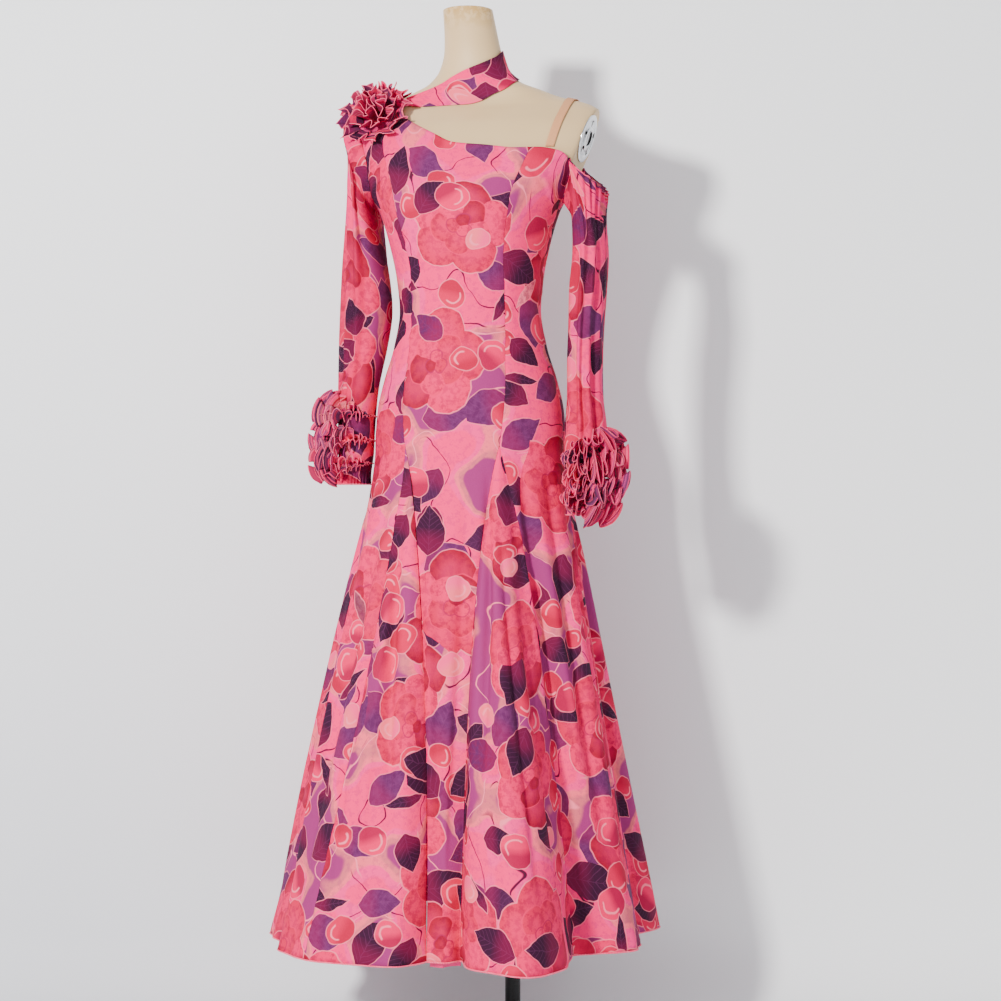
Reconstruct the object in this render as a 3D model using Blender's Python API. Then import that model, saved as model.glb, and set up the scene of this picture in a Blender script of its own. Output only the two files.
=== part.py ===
"""A one-shoulder ballroom practice dress on a limbless dress form with a round base.

Metres, +Z up. The origin is the middle of the base's underside, on the floor. The dress faces -Y,
and the wearer's left is +X. Angles round the body are in degrees from the front (-Y) towards +X.
"""

import math

import bmesh
import bpy
import numpy as np

# Cloth walls and seams.
SEAM_GAP = 0.0003
BODY_CLOTH = 0.0012
SLEEVE_CLOTH = 0.0010
RUFFLE_CLOTH = 0.0010
BAND_CLOTH = 0.0012

# Heights of the dress above the floor.
HEM_Z = 0.178
HIP_Z = 0.945
BUST_Z = 1.310

# The dress over the form, one row for each level.
# Height, half width, depth in front, depth behind, and how far back the middle lies.
BODY_SECTIONS = (
    (0.800, 0.1150, 0.0800, 0.0950, 0.000),
    (0.830, 0.1400, 0.1000, 0.1160, 0.000),
    (0.880, 0.1490, 0.1090, 0.1250, 0.000),
    (0.945, 0.1535, 0.1130, 0.1280, 0.000),
    (1.000, 0.1500, 0.1100, 0.1230, 0.000),
    (1.050, 0.1390, 0.1020, 0.1110, 0.000),
    (1.100, 0.1235, 0.0930, 0.0980, 0.000),
    (1.160, 0.1135, 0.0870, 0.0900, 0.000),
    (1.210, 0.1180, 0.0940, 0.0930, 0.000),
    (1.260, 0.1280, 0.1060, 0.0980, 0.000),
    (1.310, 0.1430, 0.1150, 0.1030, 0.000),
    (1.345, 0.1620, 0.1160, 0.1030, 0.003),
    (1.380, 0.1880, 0.1130, 0.0990, 0.009),
    (1.420, 0.2120, 0.1040, 0.0880, 0.017),
    (1.450, 0.2200, 0.0900, 0.0720, 0.023),
    (1.470, 0.2140, 0.0740, 0.0580, 0.027),
    (1.484, 0.1950, 0.0620, 0.0500, 0.028),
    (1.497, 0.1500, 0.0560, 0.0460, 0.027),
    (1.511, 0.1150, 0.0530, 0.0460, 0.025),
    (1.525, 0.0820, 0.0520, 0.0470, 0.023),
    (1.545, 0.0620, 0.0510, 0.0480, 0.020),
    (1.571, 0.0525, 0.0510, 0.0490, 0.016),
    (1.600, 0.0485, 0.0490, 0.0490, 0.005),
    (1.634, 0.0455, 0.0460, 0.0460, -0.012),
)
BUST_RISE = 0.010
BUST_ANGLE = 34.0
BUST_SPREAD_DEG = 20.0
BUST_SPREAD_Z = 0.045

# Where the princess seams run, as degrees from the front, and from the back on the back panels.
PRINCESS_SEAM = ((0.945, 30.0), (1.050, 36.0), (1.160, 42.0), (1.230, 39.0), (1.310, 36.8),
                 (1.400, 36.0), (1.487, 33.0))

# The slanted top edge, from the neck point on the wearer's right, round the front, under the
# wearer's left arm and across the back: degrees and height.
TOP_EDGE = ((-33, 1.487), (-24, 1.460), (-18, 1.447), (-10, 1.431), (0, 1.413), (14, 1.407),
            (28, 1.402), (40, 1.403), (52, 1.399), (62, 1.388), (76, 1.358), (90, 1.326),
            (104, 1.356), (118, 1.386), (135, 1.398), (155, 1.405), (180, 1.420), (198, 1.445),
            (213, 1.487))

# Lines down the skirt. Degrees round the hip, degrees and radius at the hem, and how soon the
# line has swung to its place at the hem, small for the petal-shaped godets.
SKIRT_LINES = (
    (-30, 1, 0.238, 0.35),
    (0, 7, 0.243, 0.30),
    (30, 13, 0.226, 0.25),
    (30, 15, 0.268, 0.25),
    (30, 22, 0.312, 0.25),
    (30, 31, 0.355, 0.25),
    (30, 42, 0.318, 0.25),
    (30, 57, 0.243, 0.25),
    (62, 66, 0.262, 0.6),
    (78, 76, 0.291, 0.6),
    (90, 86, 0.279, 0.3),
    (90, 102, 0.262, 0.3),
    (90, 115, 0.308, 0.3),
    (90, 128, 0.262, 0.3),
    (125, 138, 0.247, 0.6),
    (150, 147, 0.268, 0.3),
    (150, 158, 0.312, 0.3),
    (150, 171, 0.250, 0.3),
    (180, 182, 0.262, 0.6),
    (210, 193, 0.248, 0.3),
    (210, 206, 0.310, 0.3),
    (210, 218, 0.262, 0.3),
    (238, 230, 0.246, 0.6),
    (270, 243, 0.268, 0.3),
    (270, 258, 0.306, 0.3),
    (270, 272, 0.290, 0.3),
    (270, 286, 0.314, 0.3),
    (270, 303, 0.302, 0.3),
    (300, 313, 0.322, 0.6),
    (330, 327, 0.325, 0.35),
    (330, 342, 0.303, 0.35),
    (330, 354, 0.290, 0.35),
    (330, 359, 0.262, 0.35),
    (330, 361, 0.238, 0.35),
)
MEAN_HEM_RADIUS = 0.280
KNEE = 0.05
SKIRT_ROWS = (0.0, 0.02, 0.06, 0.12, 0.21, 0.34, 0.52, 0.76, 1.0)
HEM_COLUMN_DEG = 4.8
HIP_COLUMN_DEG = 11.0

# Each panel or godet of the body: first and last of the lines above.
PANELS = (
    ("centre_front", 0, 2),
    ("side_front_left", 7, 10),
    ("side_back_left", 13, 15),
    ("centre_back", 17, 19),
    ("side_back_right", 21, 23),
    ("side_front_right", 27, 29),
)
GODETS = (
    ("godet_front_left", 2, 7),
    ("godet_side_left", 10, 13),
    ("godet_back_left", 15, 17),
    ("godet_back_right", 19, 21),
    ("godet_side_right", 23, 27),
    ("godet_front_right", 29, 33),
)
BODICE_ROWS = 9
UPPER_ROWS = 6

# The round armhole on the wearer's right, on the body's surface.
ARMHOLE_TOP_Z = 1.489
ARMHOLE_BOTTOM_Z = 1.337
ARMHOLE_HALF_DEG = 40.0
NECK_POINT_Z = 1.487
NECK_RIDGE_Z = 1.515
NECK_TURN_DEG = 19.0

# The dress form.
FORM_INSET = 0.0028
FORM_UPPER_INSET = 0.0065
FORM_UPPER_DROP = 0.003
FORM_COLUMNS = 32
ARM_CUT_X = 0.187
ARM_CUT_Z = 1.4256
ARM_CUT_SLOPE = 0.33
ARM_MIDDLE_Y = 0.012
ARM_PLATE_RADIUS = 0.038
ARM_PLATE_THICKNESS = 0.0018
ARM_PLATE_HUB_RADIUS = 0.009
ARM_PLATE_HUB_HEIGHT = 0.0016
ARM_PLATE_COLUMNS = 28
POLE_X = 0.070
POLE_RADIUS = 0.012
BASE_RADIUS = 0.190
BASE_THICKNESS = 0.018

# Sleeve rings from the top. Outer and inner x and height, middle y, half depth.
RIGHT_SLEEVE = (
    (-0.2100, 1.4750, -0.1600, 1.327, 0.014, 0.062),
    (-0.2000, 1.430, -0.1595, 1.315, 0.012, 0.062),
    (-0.2015, 1.375, -0.1540, 1.290, 0.008, 0.058),
    (-0.2040, 1.305, -0.1430, 1.250, 0.002, 0.053),
    (-0.2075, 1.235, -0.1325, 1.200, -0.004, 0.050),
    (-0.2110, 1.170, -0.1300, 1.155, -0.004, 0.049),
    (-0.2135, 1.105, -0.1380, 1.105, -0.004, 0.048),
    (-0.2150, 1.040, -0.1525, 1.040, -0.004, 0.045),
    (-0.2160, 0.980, -0.1585, 0.980, -0.004, 0.041),
    (-0.2160, 0.935, -0.1610, 0.935, -0.004, 0.038),
    (-0.2215, 0.907, -0.1660, 0.907, -0.004, 0.037),
    (-0.2240, 0.886, -0.1680, 0.886, -0.004, 0.037),
)
LEFT_SLEEVE = (
    (0.2205, 1.300, 0.1705, 1.295, -0.010, 0.047),
    (0.2255, 1.242, 0.1715, 1.242, -0.010, 0.048),
    (0.2230, 1.190, 0.1664, 1.190, -0.010, 0.048),
    (0.2185, 1.130, 0.1650, 1.130, -0.010, 0.047),
    (0.2170, 1.080, 0.1635, 1.080, -0.012, 0.046),
    (0.2185, 1.020, 0.1637, 1.020, -0.015, 0.044),
    (0.2255, 0.970, 0.1610, 0.970, -0.020, 0.042),
    (0.2230, 0.930, 0.1620, 0.930, -0.028, 0.038),
    (0.2195, 0.890, 0.1680, 0.890, -0.037, 0.034),
    (0.2090, 0.860, 0.1700, 0.860, -0.044, 0.030),
    (0.2030, 0.838, 0.1710, 0.838, -0.048, 0.028),
)
LEFT_TOP_OUTER = (0.2215, 1.334)
LEFT_TOP_LIFT = 0.030
LEFT_TOP_Y = -0.002
LEFT_TOP_HALF_DEPTH = 0.050
LEFT_ARMHOLE_HALF_DEG = 28.0
LEFT_TOP_FREE_FROM, LEFT_TOP_BLEND = 0.35, 0.45
SLEEVE_COLUMNS = 24
# Long folds of a sleeve: degrees round it from the outer side, width in degrees, depth.
SLEEVE_FOLDS = ((38, 13, 0.0060), (72, 11, 0.0050), (112, 15, 0.0060), (215, 14, 0.0050),
                (262, 12, 0.0060), (318, 15, 0.0050))

# Cuff ruffles. Sleeve ring of the row, how far it stands out, and its tilt up in degrees.
RUFFLE_WAVES = 12
RUFFLE_WAVE_DEPTH = 0.008
RUFFLE_ROWS_RIGHT = ((8.72, 0.040, 26), (9.55, 0.042, 4), (10.50, 0.038, -14))
RUFFLE_ROWS_LEFT = ((8.07, 0.046, 22), (8.87, 0.048, 0), (9.75, 0.046, -24))
RUFFLE_LEAST = 0.03
RUFFLE_FULLEST_DEG = 35.0
RUFFLE_POWER = 2.1

# The rosette. Root radius, edge radius and height of each strip, its waves and their depth.
ROSETTE_STRIPS = (
    ("rosette_strip_1", 0.0060, 0.0105, 0.036, 5, 0.0030),
    ("rosette_strip_2", 0.0145, 0.0235, 0.032, 8, 0.0042),
    ("rosette_strip_3", 0.0235, 0.0375, 0.025, 12, 0.0050),
    ("rosette_strip_4", 0.0325, 0.0510, 0.014, 16, 0.0055),
)
ROSETTE_MIDDLE = (-0.140, -0.030, 1.462)
ROSETTE_FACES = (-0.10, -0.84, 0.53)
ROSETTE_BACKING_RADIUS = 0.037
ROSETTE_BACKING_THICKNESS = 0.0020
ROSETTE_HOLE_RADIUS = 0.002
ROSETTE_COLUMNS = 24
SEAT_REACH = 1.1
COLUMNS_PER_WAVE = 4

# Choker band on the form: degrees round the neck, lower and upper edge.
CHOKER = ((-52, 1.4890, 1.5030), (-37, 1.4870, 1.5110), (-18, 1.4815, 1.5270),
          (0, 1.4815, 1.5360), (20, 1.4975, 1.5436), (45, 1.5126, 1.5531), (60, 1.5180, 1.5585),
          (75, 1.5222, 1.5650), (90, 1.5255, 1.5704), (106, 1.5270, 1.5735), (135, 1.5270, 1.5740),
          (180, 1.5150, 1.5600), (208, 1.4980, 1.5280), (222, 1.4900, 1.5060), (236, 1.4870, 1.4990))
CHOKER_OUT = 0.0032
CHOKER_COLUMNS = 29

# Nude strap: from the front neckline over the shoulder to the back neckline.
STRAP_WIDTH = 0.012
STRAP_FOOT_X = 0.145
STRAP_RIDGE_X = 0.163
STRAP_FOOT_Z = 1.4050
STRAP_OUT = 0.0022
STRAP_RISE = 0.0022
STRAP_STEPS = 8

# Lining behind the centre front, deeper inside and longer at the hem.
LINING_INSIDE_TOP = 0.0017
LINING_INSIDE_HEM = 0.010
LINING_LONGER = 0.008


def unit(vectors):
    """Vectors scaled to length one along the last axis."""
    return vectors / np.linalg.norm(vectors, axis=-1, keepdims=True)


def curve(at, keys, values):
    """A smooth curve through the rows (keys, values): a cubic with slopes that never overshoot."""
    keys = np.asarray(keys, float)
    values = np.asarray(values, float)
    rise = np.diff(values) / np.diff(keys)
    slopes = np.zeros_like(values)
    inner = (rise[1:] * rise[:-1] > 0)
    total = np.where(inner, rise[1:] + rise[:-1], 1.0)
    slopes[1:-1] = np.where(inner, 2 * rise[1:] * rise[:-1] / total, 0.0)
    slopes[0], slopes[-1] = rise[0], rise[-1]
    at = np.clip(np.asarray(at, float), keys[0], keys[-1])
    i = np.clip(np.searchsorted(keys, at, side="right") - 1, 0, len(keys) - 2)
    step = keys[i + 1] - keys[i]
    t = (at - keys[i]) / step
    return (values[i] * (2 * t**3 - 3 * t**2 + 1) + values[i + 1] * (3 * t**2 - 2 * t**3)
            + step * (slopes[i] * (t**3 - 2 * t**2 + t) + slopes[i + 1] * (t**3 - t**2)))


def column(table, index):
    return [row[index] for row in table]


def body_point(deg, z, inset=0.0):
    """A point of the dressed body's surface, or of one that lies inset inside it."""
    heights = column(BODY_SECTIONS, 0)
    half, front, back, middle = (
        curve(z, heights, column(BODY_SECTIONS, i)) for i in range(1, 5))
    turn = np.radians(deg)
    from_front = np.abs((np.asarray(deg) + 180.0) % 360.0 - 180.0)
    bust = BUST_RISE * np.exp(-((z - BUST_Z) / BUST_SPREAD_Z) ** 2
                              - ((from_front - BUST_ANGLE) / BUST_SPREAD_DEG) ** 2)
    depth = np.where(np.cos(turn) > 0, front, back)
    x = (half + bust - inset) * np.sin(turn)
    y = middle - (depth + bust - inset) * np.cos(turn)
    return np.stack(np.broadcast_arrays(x, y, z), axis=-1)


def body_frame(deg, z):
    """The point, its normal out of the body and the unit direction round the body."""
    step_deg, step_z = 0.5, 0.0005
    point = body_point(deg, z)
    round_body = unit(body_point(deg + step_deg, z) - body_point(deg - step_deg, z))
    up = body_point(deg, z + step_z) - body_point(deg, z - step_z)
    return point, unit(np.cross(round_body, up)), round_body


def skirt_point(line, down):
    """The skirt at a place among SKIRT_LINES and a fraction of the way from hip to hem."""
    lines = np.arange(len(SKIRT_LINES))
    hip_deg, hem_deg, _, swing = (np.interp(line, lines, column(SKIRT_LINES, i)) for i in range(4))
    hem_radius = curve(hem_deg, column(SKIRT_LINES, 1), column(SKIRT_LINES, 2))
    hip = body_point(hip_deg, HIP_Z)
    hip_polar = np.degrees(np.arctan2(hip[..., 0], -hip[..., 1]))
    hip_polar = hip_polar + 360.0 * np.round((hip_deg - hip_polar) / 360.0)
    swung = (1 - np.exp(-down / swing)) / (1 - np.exp(-1 / swing))
    turn = np.radians(hip_polar + (hem_deg - hip_polar) * swung)
    flare = (down - KNEE * (1 - np.exp(-down / KNEE))) / (1 - KNEE)
    _, half, front, back, _ = BODY_SECTIONS[3]
    depth = np.where(np.cos(turn) > 0, front, back)
    half = half + (MEAN_HEM_RADIUS - half) * flare
    depth = depth + (MEAN_HEM_RADIUS - depth) * flare
    radius = 1 / np.sqrt((np.sin(turn) / half) ** 2 + (np.cos(turn) / depth) ** 2)
    radius = radius + (hem_radius - MEAN_HEM_RADIUS) * flare
    z = HIP_Z - (HIP_Z - HEM_Z) * down
    return np.stack(np.broadcast_arrays(radius * np.sin(turn), -radius * np.cos(turn), z), axis=-1)


def skirt_frame(line, down):
    """The point, its normal out of the skirt and the unit direction round the skirt."""
    step = 0.02
    last = len(SKIRT_LINES) - 1
    line, down = np.broadcast_arrays(line, down)
    ahead = skirt_point(np.minimum(line + step, last), down)
    round_skirt = unit(ahead - skirt_point(np.maximum(line - step, 0), down))
    up = skirt_point(line, np.maximum(down - step, 0)) - skirt_point(line, np.minimum(down + step, 1))
    return skirt_point(line, down), unit(np.cross(round_skirt, up)), round_skirt


def line_columns(first, last):
    """Places among SKIRT_LINES, spaced evenly enough for both the hem and the hip."""
    hip, hem = column(SKIRT_LINES, 0), column(SKIRT_LINES, 1)
    counts = [max(1, round((hem[i + 1] - hem[i]) / HEM_COLUMN_DEG),
                  round((hip[i + 1] - hip[i]) / HIP_COLUMN_DEG)) for i in range(first, last)]
    places = [np.linspace(i, i + 1, count + 1)[:-1] for i, count in zip(range(first, last), counts)]
    return np.append(np.concatenate(places), last)


def princess_deg(z, line):
    """Degrees of a body seam at a height: the side seams run straight, the princess seams don't."""
    hip = SKIRT_LINES[line][0]
    if hip % 180 == 90:
        return np.full_like(np.asarray(z, float), hip)
    moved = curve(z, column(PRINCESS_SEAM, 0), column(PRINCESS_SEAM, 1)) - PRINCESS_SEAM[0][1]
    away_from_middle = 1 if (hip % 360) in (30, 210) else -1
    return hip + away_from_middle * moved


def material(name, colour, roughness, metallic=0.0):
    made = bpy.data.materials.new(name)
    made.use_nodes = True
    shader = made.node_tree.nodes["Principled BSDF"]
    shader.inputs["Base Color"].default_value = (*colour, 1.0)
    shader.inputs["Roughness"].default_value = roughness
    shader.inputs["Metallic"].default_value = metallic
    return made


def add_object(name, points, faces, made_of):
    """An object at the origin with its place in its mesh, its faces turned outwards."""
    mesh = bpy.data.meshes.new(name)
    mesh.from_pydata(points.reshape(-1, 3).tolist(), [], faces)
    shell = bmesh.new()
    shell.from_mesh(mesh)
    bmesh.ops.recalc_face_normals(shell, faces=shell.faces)
    shell.to_mesh(mesh)
    shell.free()
    mesh.materials.append(made_of)
    mesh.shade_smooth()
    mesh.set_sharp_from_angle(angle=math.radians(50))
    obj = bpy.data.objects.new(name, mesh)
    bpy.context.scene.collection.objects.link(obj)
    return obj


def grid_faces(rows, cols, ring, start=0, flip=False):
    """Quads of a grid of points, closed round when it is a ring."""
    i, j = np.meshgrid(np.arange(rows - 1), np.arange(cols if ring else cols - 1), indexing="ij")
    ahead = (j + 1) % cols
    quads = np.stack([i * cols + j, i * cols + ahead, (i + 1) * cols + ahead, (i + 1) * cols + j],
                     axis=-1).reshape(-1, 4) + start
    return quads[:, ::-1] if flip else quads


def cloth(name, outer, inner, made_of, ring=False):
    """A closed wall between two grids whose rows run down and whose columns run towards +X in front."""
    rows, cols = outer.shape[:2]
    count = rows * cols
    walls = [grid_faces(rows, cols, ring, 0, flip=True), grid_faces(rows, cols, ring, count)]
    j = np.arange(cols if ring else cols - 1)
    ahead = (j + 1) % cols
    top = np.stack([j, ahead, ahead + count, j + count], axis=-1)
    low = j + (rows - 1) * cols
    low_ahead = ahead + (rows - 1) * cols
    bottom = np.stack([low, low + count, low_ahead + count, low_ahead], axis=-1)
    walls += [top, bottom]
    if not ring:
        i = np.arange(rows - 1) * cols
        walls.append(np.stack([i, i + count, i + cols + count, i + cols], axis=-1))
        i = i + cols - 1
        walls.append(np.stack([i, i + cols, i + cols + count, i + count], axis=-1))
    faces = np.concatenate(walls).tolist()
    return add_object(name, np.concatenate([outer.reshape(-1, 3), inner.reshape(-1, 3)]), faces, made_of)


def seamed(point, normal, round_body, thickness):
    """Outer and inner points, with the first and last column drawn back by half the seam's gap."""
    point = point.copy()
    point[:, 0] += round_body[:, 0] * SEAM_GAP / 2
    point[:, -1] -= round_body[:, -1] * SEAM_GAP / 2
    return point, point - normal * thickness


def finer(grid):
    """The points of a grid's flat faces, four times as close together."""
    for axis in (0, 1):
        grid = np.moveaxis(grid, axis, 0)
        shares = (0.0, 0.25, 0.5, 0.75)
        grid = np.concatenate([grid[:-1] + (grid[1:] - grid[:-1]) * share for share in shares])
        grid = np.moveaxis(grid, 0, axis)
    return grid.reshape(-1, 3)


def armhole(turn):
    """Degrees and height of the armhole on the wearer's right, from its top (0) down the front."""
    mid = (ARMHOLE_TOP_Z + ARMHOLE_BOTTOM_Z) / 2
    half = (ARMHOLE_TOP_Z - ARMHOLE_BOTTOM_Z) / 2
    return 270 + ARMHOLE_HALF_DEG * np.sin(turn), mid + half * np.cos(turn)


def shoulder_rows(fraction, front):
    """Degrees and heights above the bust of a panel that reaches the shoulder and the armhole."""
    neck = 327.0 if front else 213.0
    towards_side = -1.0 if front else 1.0
    share = np.linspace(1, 0, UPPER_ROWS + 1)[:-1]
    seam_z = BUST_Z + (NECK_POINT_Z - BUST_Z) * share
    seam_deg = princess_deg(seam_z, 29 if front else 21)
    halfway_z = (NECK_RIDGE_Z + NECK_POINT_Z) / 2
    seam_z = np.concatenate([[NECK_RIDGE_Z, halfway_z], seam_z])
    seam_deg = np.concatenate([[270.0, neck + towards_side * NECK_TURN_DEG], seam_deg])
    turns = np.radians([0, 15, 30, 60, 90, 120, 150, 180]) * (1 if front else -1)
    hole_deg, hole_z = armhole(turns)
    hole_share = (1 - fraction) if front else fraction
    deg = seam_deg[:, None] + (hole_deg - seam_deg)[:, None] * hole_share
    z = seam_z[:, None] + (hole_z - seam_z)[:, None] * hole_share
    return deg, z


def panel_grid(first, last, places):
    """Degrees and heights of a panel's rows above the hip, from the top edge down."""
    hip = np.interp(places, np.arange(len(SKIRT_LINES)), column(SKIRT_LINES, 0))
    fraction = (hip - hip[0]) / (hip[-1] - hip[0])
    z = np.linspace(BUST_Z, HIP_Z, BODICE_ROWS + 1)[:-1]
    left, right = princess_deg(z, first), princess_deg(z, last)
    deg = left[:, None] + (right - left)[:, None] * fraction
    z = np.repeat(z[:, None], len(places), axis=1)
    if SKIRT_LINES[last][0] == 270 or SKIRT_LINES[first][0] == 270:
        upper_deg, upper_z = shoulder_rows(fraction, front=SKIRT_LINES[first][0] == 270)
        return np.vstack([upper_deg, deg]), np.vstack([upper_z, z])
    share = np.linspace(1, 0, UPPER_ROWS + 1)[:-1, None]
    edge_deg = np.stack([princess_deg(np.full(UPPER_ROWS, 1.40), line) for line in (first, last)])
    upper_deg = edge_deg[0][:, None] + (edge_deg[1] - edge_deg[0])[:, None] * fraction
    for end, line in ((0, first), (-1, last)):
        if SKIRT_LINES[line][0] % 360 in (330, 210):
            lift = princess_deg(BUST_Z + (NECK_POINT_Z - BUST_Z) * share[:, 0], line)
            weight = (1 - fraction) if end == 0 else fraction
            upper_deg = upper_deg + (lift - edge_deg[end])[:, None] * weight
    start = 1 - TOP_EDGE[0][0]
    top = curve((upper_deg + start) % 360 - start, column(TOP_EDGE, 0), column(TOP_EDGE, 1))
    upper_z = BUST_Z + (top - BUST_Z) * share
    return np.vstack([upper_deg, deg]), np.vstack([upper_z, z])


def body_panel(name, first, last, made_of):
    """One panel of the body, from its top edge through the hip to the hem."""
    places = line_columns(first, last)
    deg, z = panel_grid(first, last, places)
    above = body_frame(deg, z)
    if name == "side_front_right":
        above[0][0] += above[2][0] * SEAM_GAP / 2
    if name == "side_back_right":
        above[0][0] -= above[2][0] * SEAM_GAP / 2
    down = np.array(SKIRT_ROWS)[:, None]
    below = skirt_frame(np.repeat(places[None], len(down), axis=0), down)
    hip_deg = np.interp(places, np.arange(len(SKIRT_LINES)), column(SKIRT_LINES, 0))
    at_hip = body_frame(hip_deg, np.full(len(places), HIP_Z))
    below[1][0], below[2][0] = at_hip[1], at_hip[2]
    joined = [np.vstack([a, b]) for a, b in zip(above, below)]
    return cloth(name, *seamed(*joined, BODY_CLOTH), made_of)


def godet(name, first, last, made_of):
    """A godet: it starts just under its point at the hip and fans out to the hem."""
    places = line_columns(first, last)
    down = np.array(SKIRT_ROWS[1:])[:, None]
    frame = skirt_frame(np.repeat(places[None], len(down), axis=0), down)
    return cloth(name, *seamed(*frame, BODY_CLOTH), made_of)


def lining(made_of):
    """The lining gore: the centre front's own points, moved inside, and longer at the hem."""
    places = line_columns(0, 2)
    down = np.array(SKIRT_ROWS[3:])[:, None]
    point, normal, _ = skirt_frame(np.repeat(places[None], len(down), axis=0), down)
    below_top = (down[..., None] - down[0]) / (1 - down[0])
    inside = LINING_INSIDE_TOP + (LINING_INSIDE_HEM - LINING_INSIDE_TOP) * below_top
    outer = point - normal * inside
    outer[..., 2] -= LINING_LONGER * down
    return cloth("lining_front", outer, outer - normal * BODY_CLOTH, made_of)


def ring_normals(points):
    """Outward normals of a tube of rings whose columns run clockwise seen from above."""
    around = np.roll(points, -1, axis=1) - np.roll(points, 1, axis=1)
    down = np.gradient(points, axis=0)
    return unit(np.cross(around, down))


def sleeve_rings(table, turn):
    """Rings of a sleeve: middle + cos(turn) towards its outer side, sin(turn) towards the front."""
    table = np.array(table)[:, None, :]
    outer_x, outer_z, inner_x, inner_z, middle_y, depth = np.moveaxis(table, -1, 0)
    x = (outer_x + inner_x) / 2 + (outer_x - inner_x) / 2 * np.cos(turn)
    z = (outer_z + inner_z) / 2 + (outer_z - inner_z) / 2 * np.cos(turn)
    y = middle_y - depth * np.sin(turn)
    return np.stack([x, y, z], axis=-1)


def on_chords(ring):
    """Every second point of a ring, but for those beside the first, in the middle of its neighbours."""
    ring = ring.copy()
    ring[3:-1:2] = (ring[2:-2:2] + ring[4::2]) / 2
    return ring


def right_top_ring(turn):
    """The armhole's own edge, one seam gap further out."""
    deg, z = armhole(turn)
    return on_chords(body_point(deg, z)) - np.array([SEAM_GAP, 0, 0])


def left_top_ring(turn):
    """Under the arm it follows the bodice's top edge, and over the bare arm it hangs free."""
    deg = 90 - LEFT_ARMHOLE_HALF_DEG * np.sin(turn)
    edge = body_point(deg, curve(deg, column(TOP_EDGE, 0), column(TOP_EDGE, 1)))
    edge = edge + np.array([2.5 * SEAM_GAP, 0, 0])
    outer_x, outer_z = LEFT_TOP_OUTER
    inner_x = edge[len(turn) // 2, 0]
    x = (outer_x + inner_x) / 2 + (outer_x - inner_x) / 2 * np.cos(turn)
    z = outer_z + LEFT_TOP_LIFT * np.sin(turn) ** 2
    y = LEFT_TOP_Y - LEFT_TOP_HALF_DEPTH * np.sin(turn)
    free = np.stack([x, y, z], axis=-1)
    share = np.clip((LEFT_TOP_FREE_FROM - np.cos(turn)) / LEFT_TOP_BLEND, 0, 1)
    share = (share * share * (3 - 2 * share))[:, None]
    return edge * share + free * (1 - share)


def sleeve(name, top_ring, table, side, made_of):
    """A sleeve's wall, with long folds pressed into it, and its outer points for the ruffles."""
    turn = 2 * np.pi * np.arange(SLEEVE_COLUMNS) / SLEEVE_COLUMNS
    rings = np.concatenate([top_ring(turn)[None], sleeve_rings(table, turn)])
    normals = ring_normals(rings) * side
    down = np.linspace(0, 1, len(rings))[:, None]
    folds = sum(depth * np.exp(-(((np.degrees(turn) - at + 180) % 360 - 180) / width) ** 2)
                for at, width, depth in SLEEVE_FOLDS)
    rings = rings - normals * (folds * np.sin(np.pi * np.clip(down * 1.15, 0, 1)))[..., None]
    inward = -ring_normals(rings) * side * SLEEVE_CLOTH
    inward[0, :, 0] = side * np.maximum(inward[0, :, 0] * side, 0.0)
    inward[0] = unit(inward[0]) * SLEEVE_CLOTH
    cloth(name, rings, rings + inward, made_of, ring=True)
    return rings, normals


def cuff_ruffle(name, rings, normals, row, side, made_of):
    """A gathered strip: it stands out from the sleeve and swings up and down in waves."""
    place, stand_out, tilt = row
    count = RUFFLE_WAVES * COLUMNS_PER_WAVE
    turn = 2 * np.pi * np.arange(count) / count
    i = int(place)
    root = rings[i] + (rings[i + 1] - rings[i]) * (place - i)
    facing = normals[i] + (normals[i + 1] - normals[i]) * (place - i)
    at = turn / (2 * np.pi) * SLEEVE_COLUMNS
    keys = np.arange(SLEEVE_COLUMNS + 1)
    root, facing = (np.stack([np.interp(at, keys, np.append(v[:, k], v[0, k])) for k in range(3)],
                             axis=-1) for v in (root, facing))
    facing[:, 2] = 0.0
    facing = unit(facing)
    full = ((1 + np.cos(turn - np.radians(RUFFLE_FULLEST_DEG))) / 2) ** RUFFLE_POWER
    full = RUFFLE_LEAST + (1 - RUFFLE_LEAST) * full
    length = stand_out * full
    rise = np.radians(tilt)
    out = facing * math.cos(rise) + np.array([0, 0, math.sin(rise)])
    across = np.array([0, 0, math.cos(rise)]) - facing * math.sin(rise)
    height = np.linspace(1, 0, 3)[:, None]
    wave = RUFFLE_WAVE_DEPTH * full * np.sin(RUFFLE_WAVES * turn) * height
    root = root + facing * (SEAM_GAP + RUFFLE_CLOTH * 0.5 * abs(math.sin(rise)) + 0.0002)
    middle = root + out * (length * height)[..., None] + across * wave[..., None]
    half = ring_normals(middle) * -side * RUFFLE_CLOTH / 2
    half[-1] = across * RUFFLE_CLOTH / 2 * np.sign(np.sum(half[-1] * across, axis=-1, keepdims=True))
    return cloth(name, middle + half, middle - half, made_of, ring=True)


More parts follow.
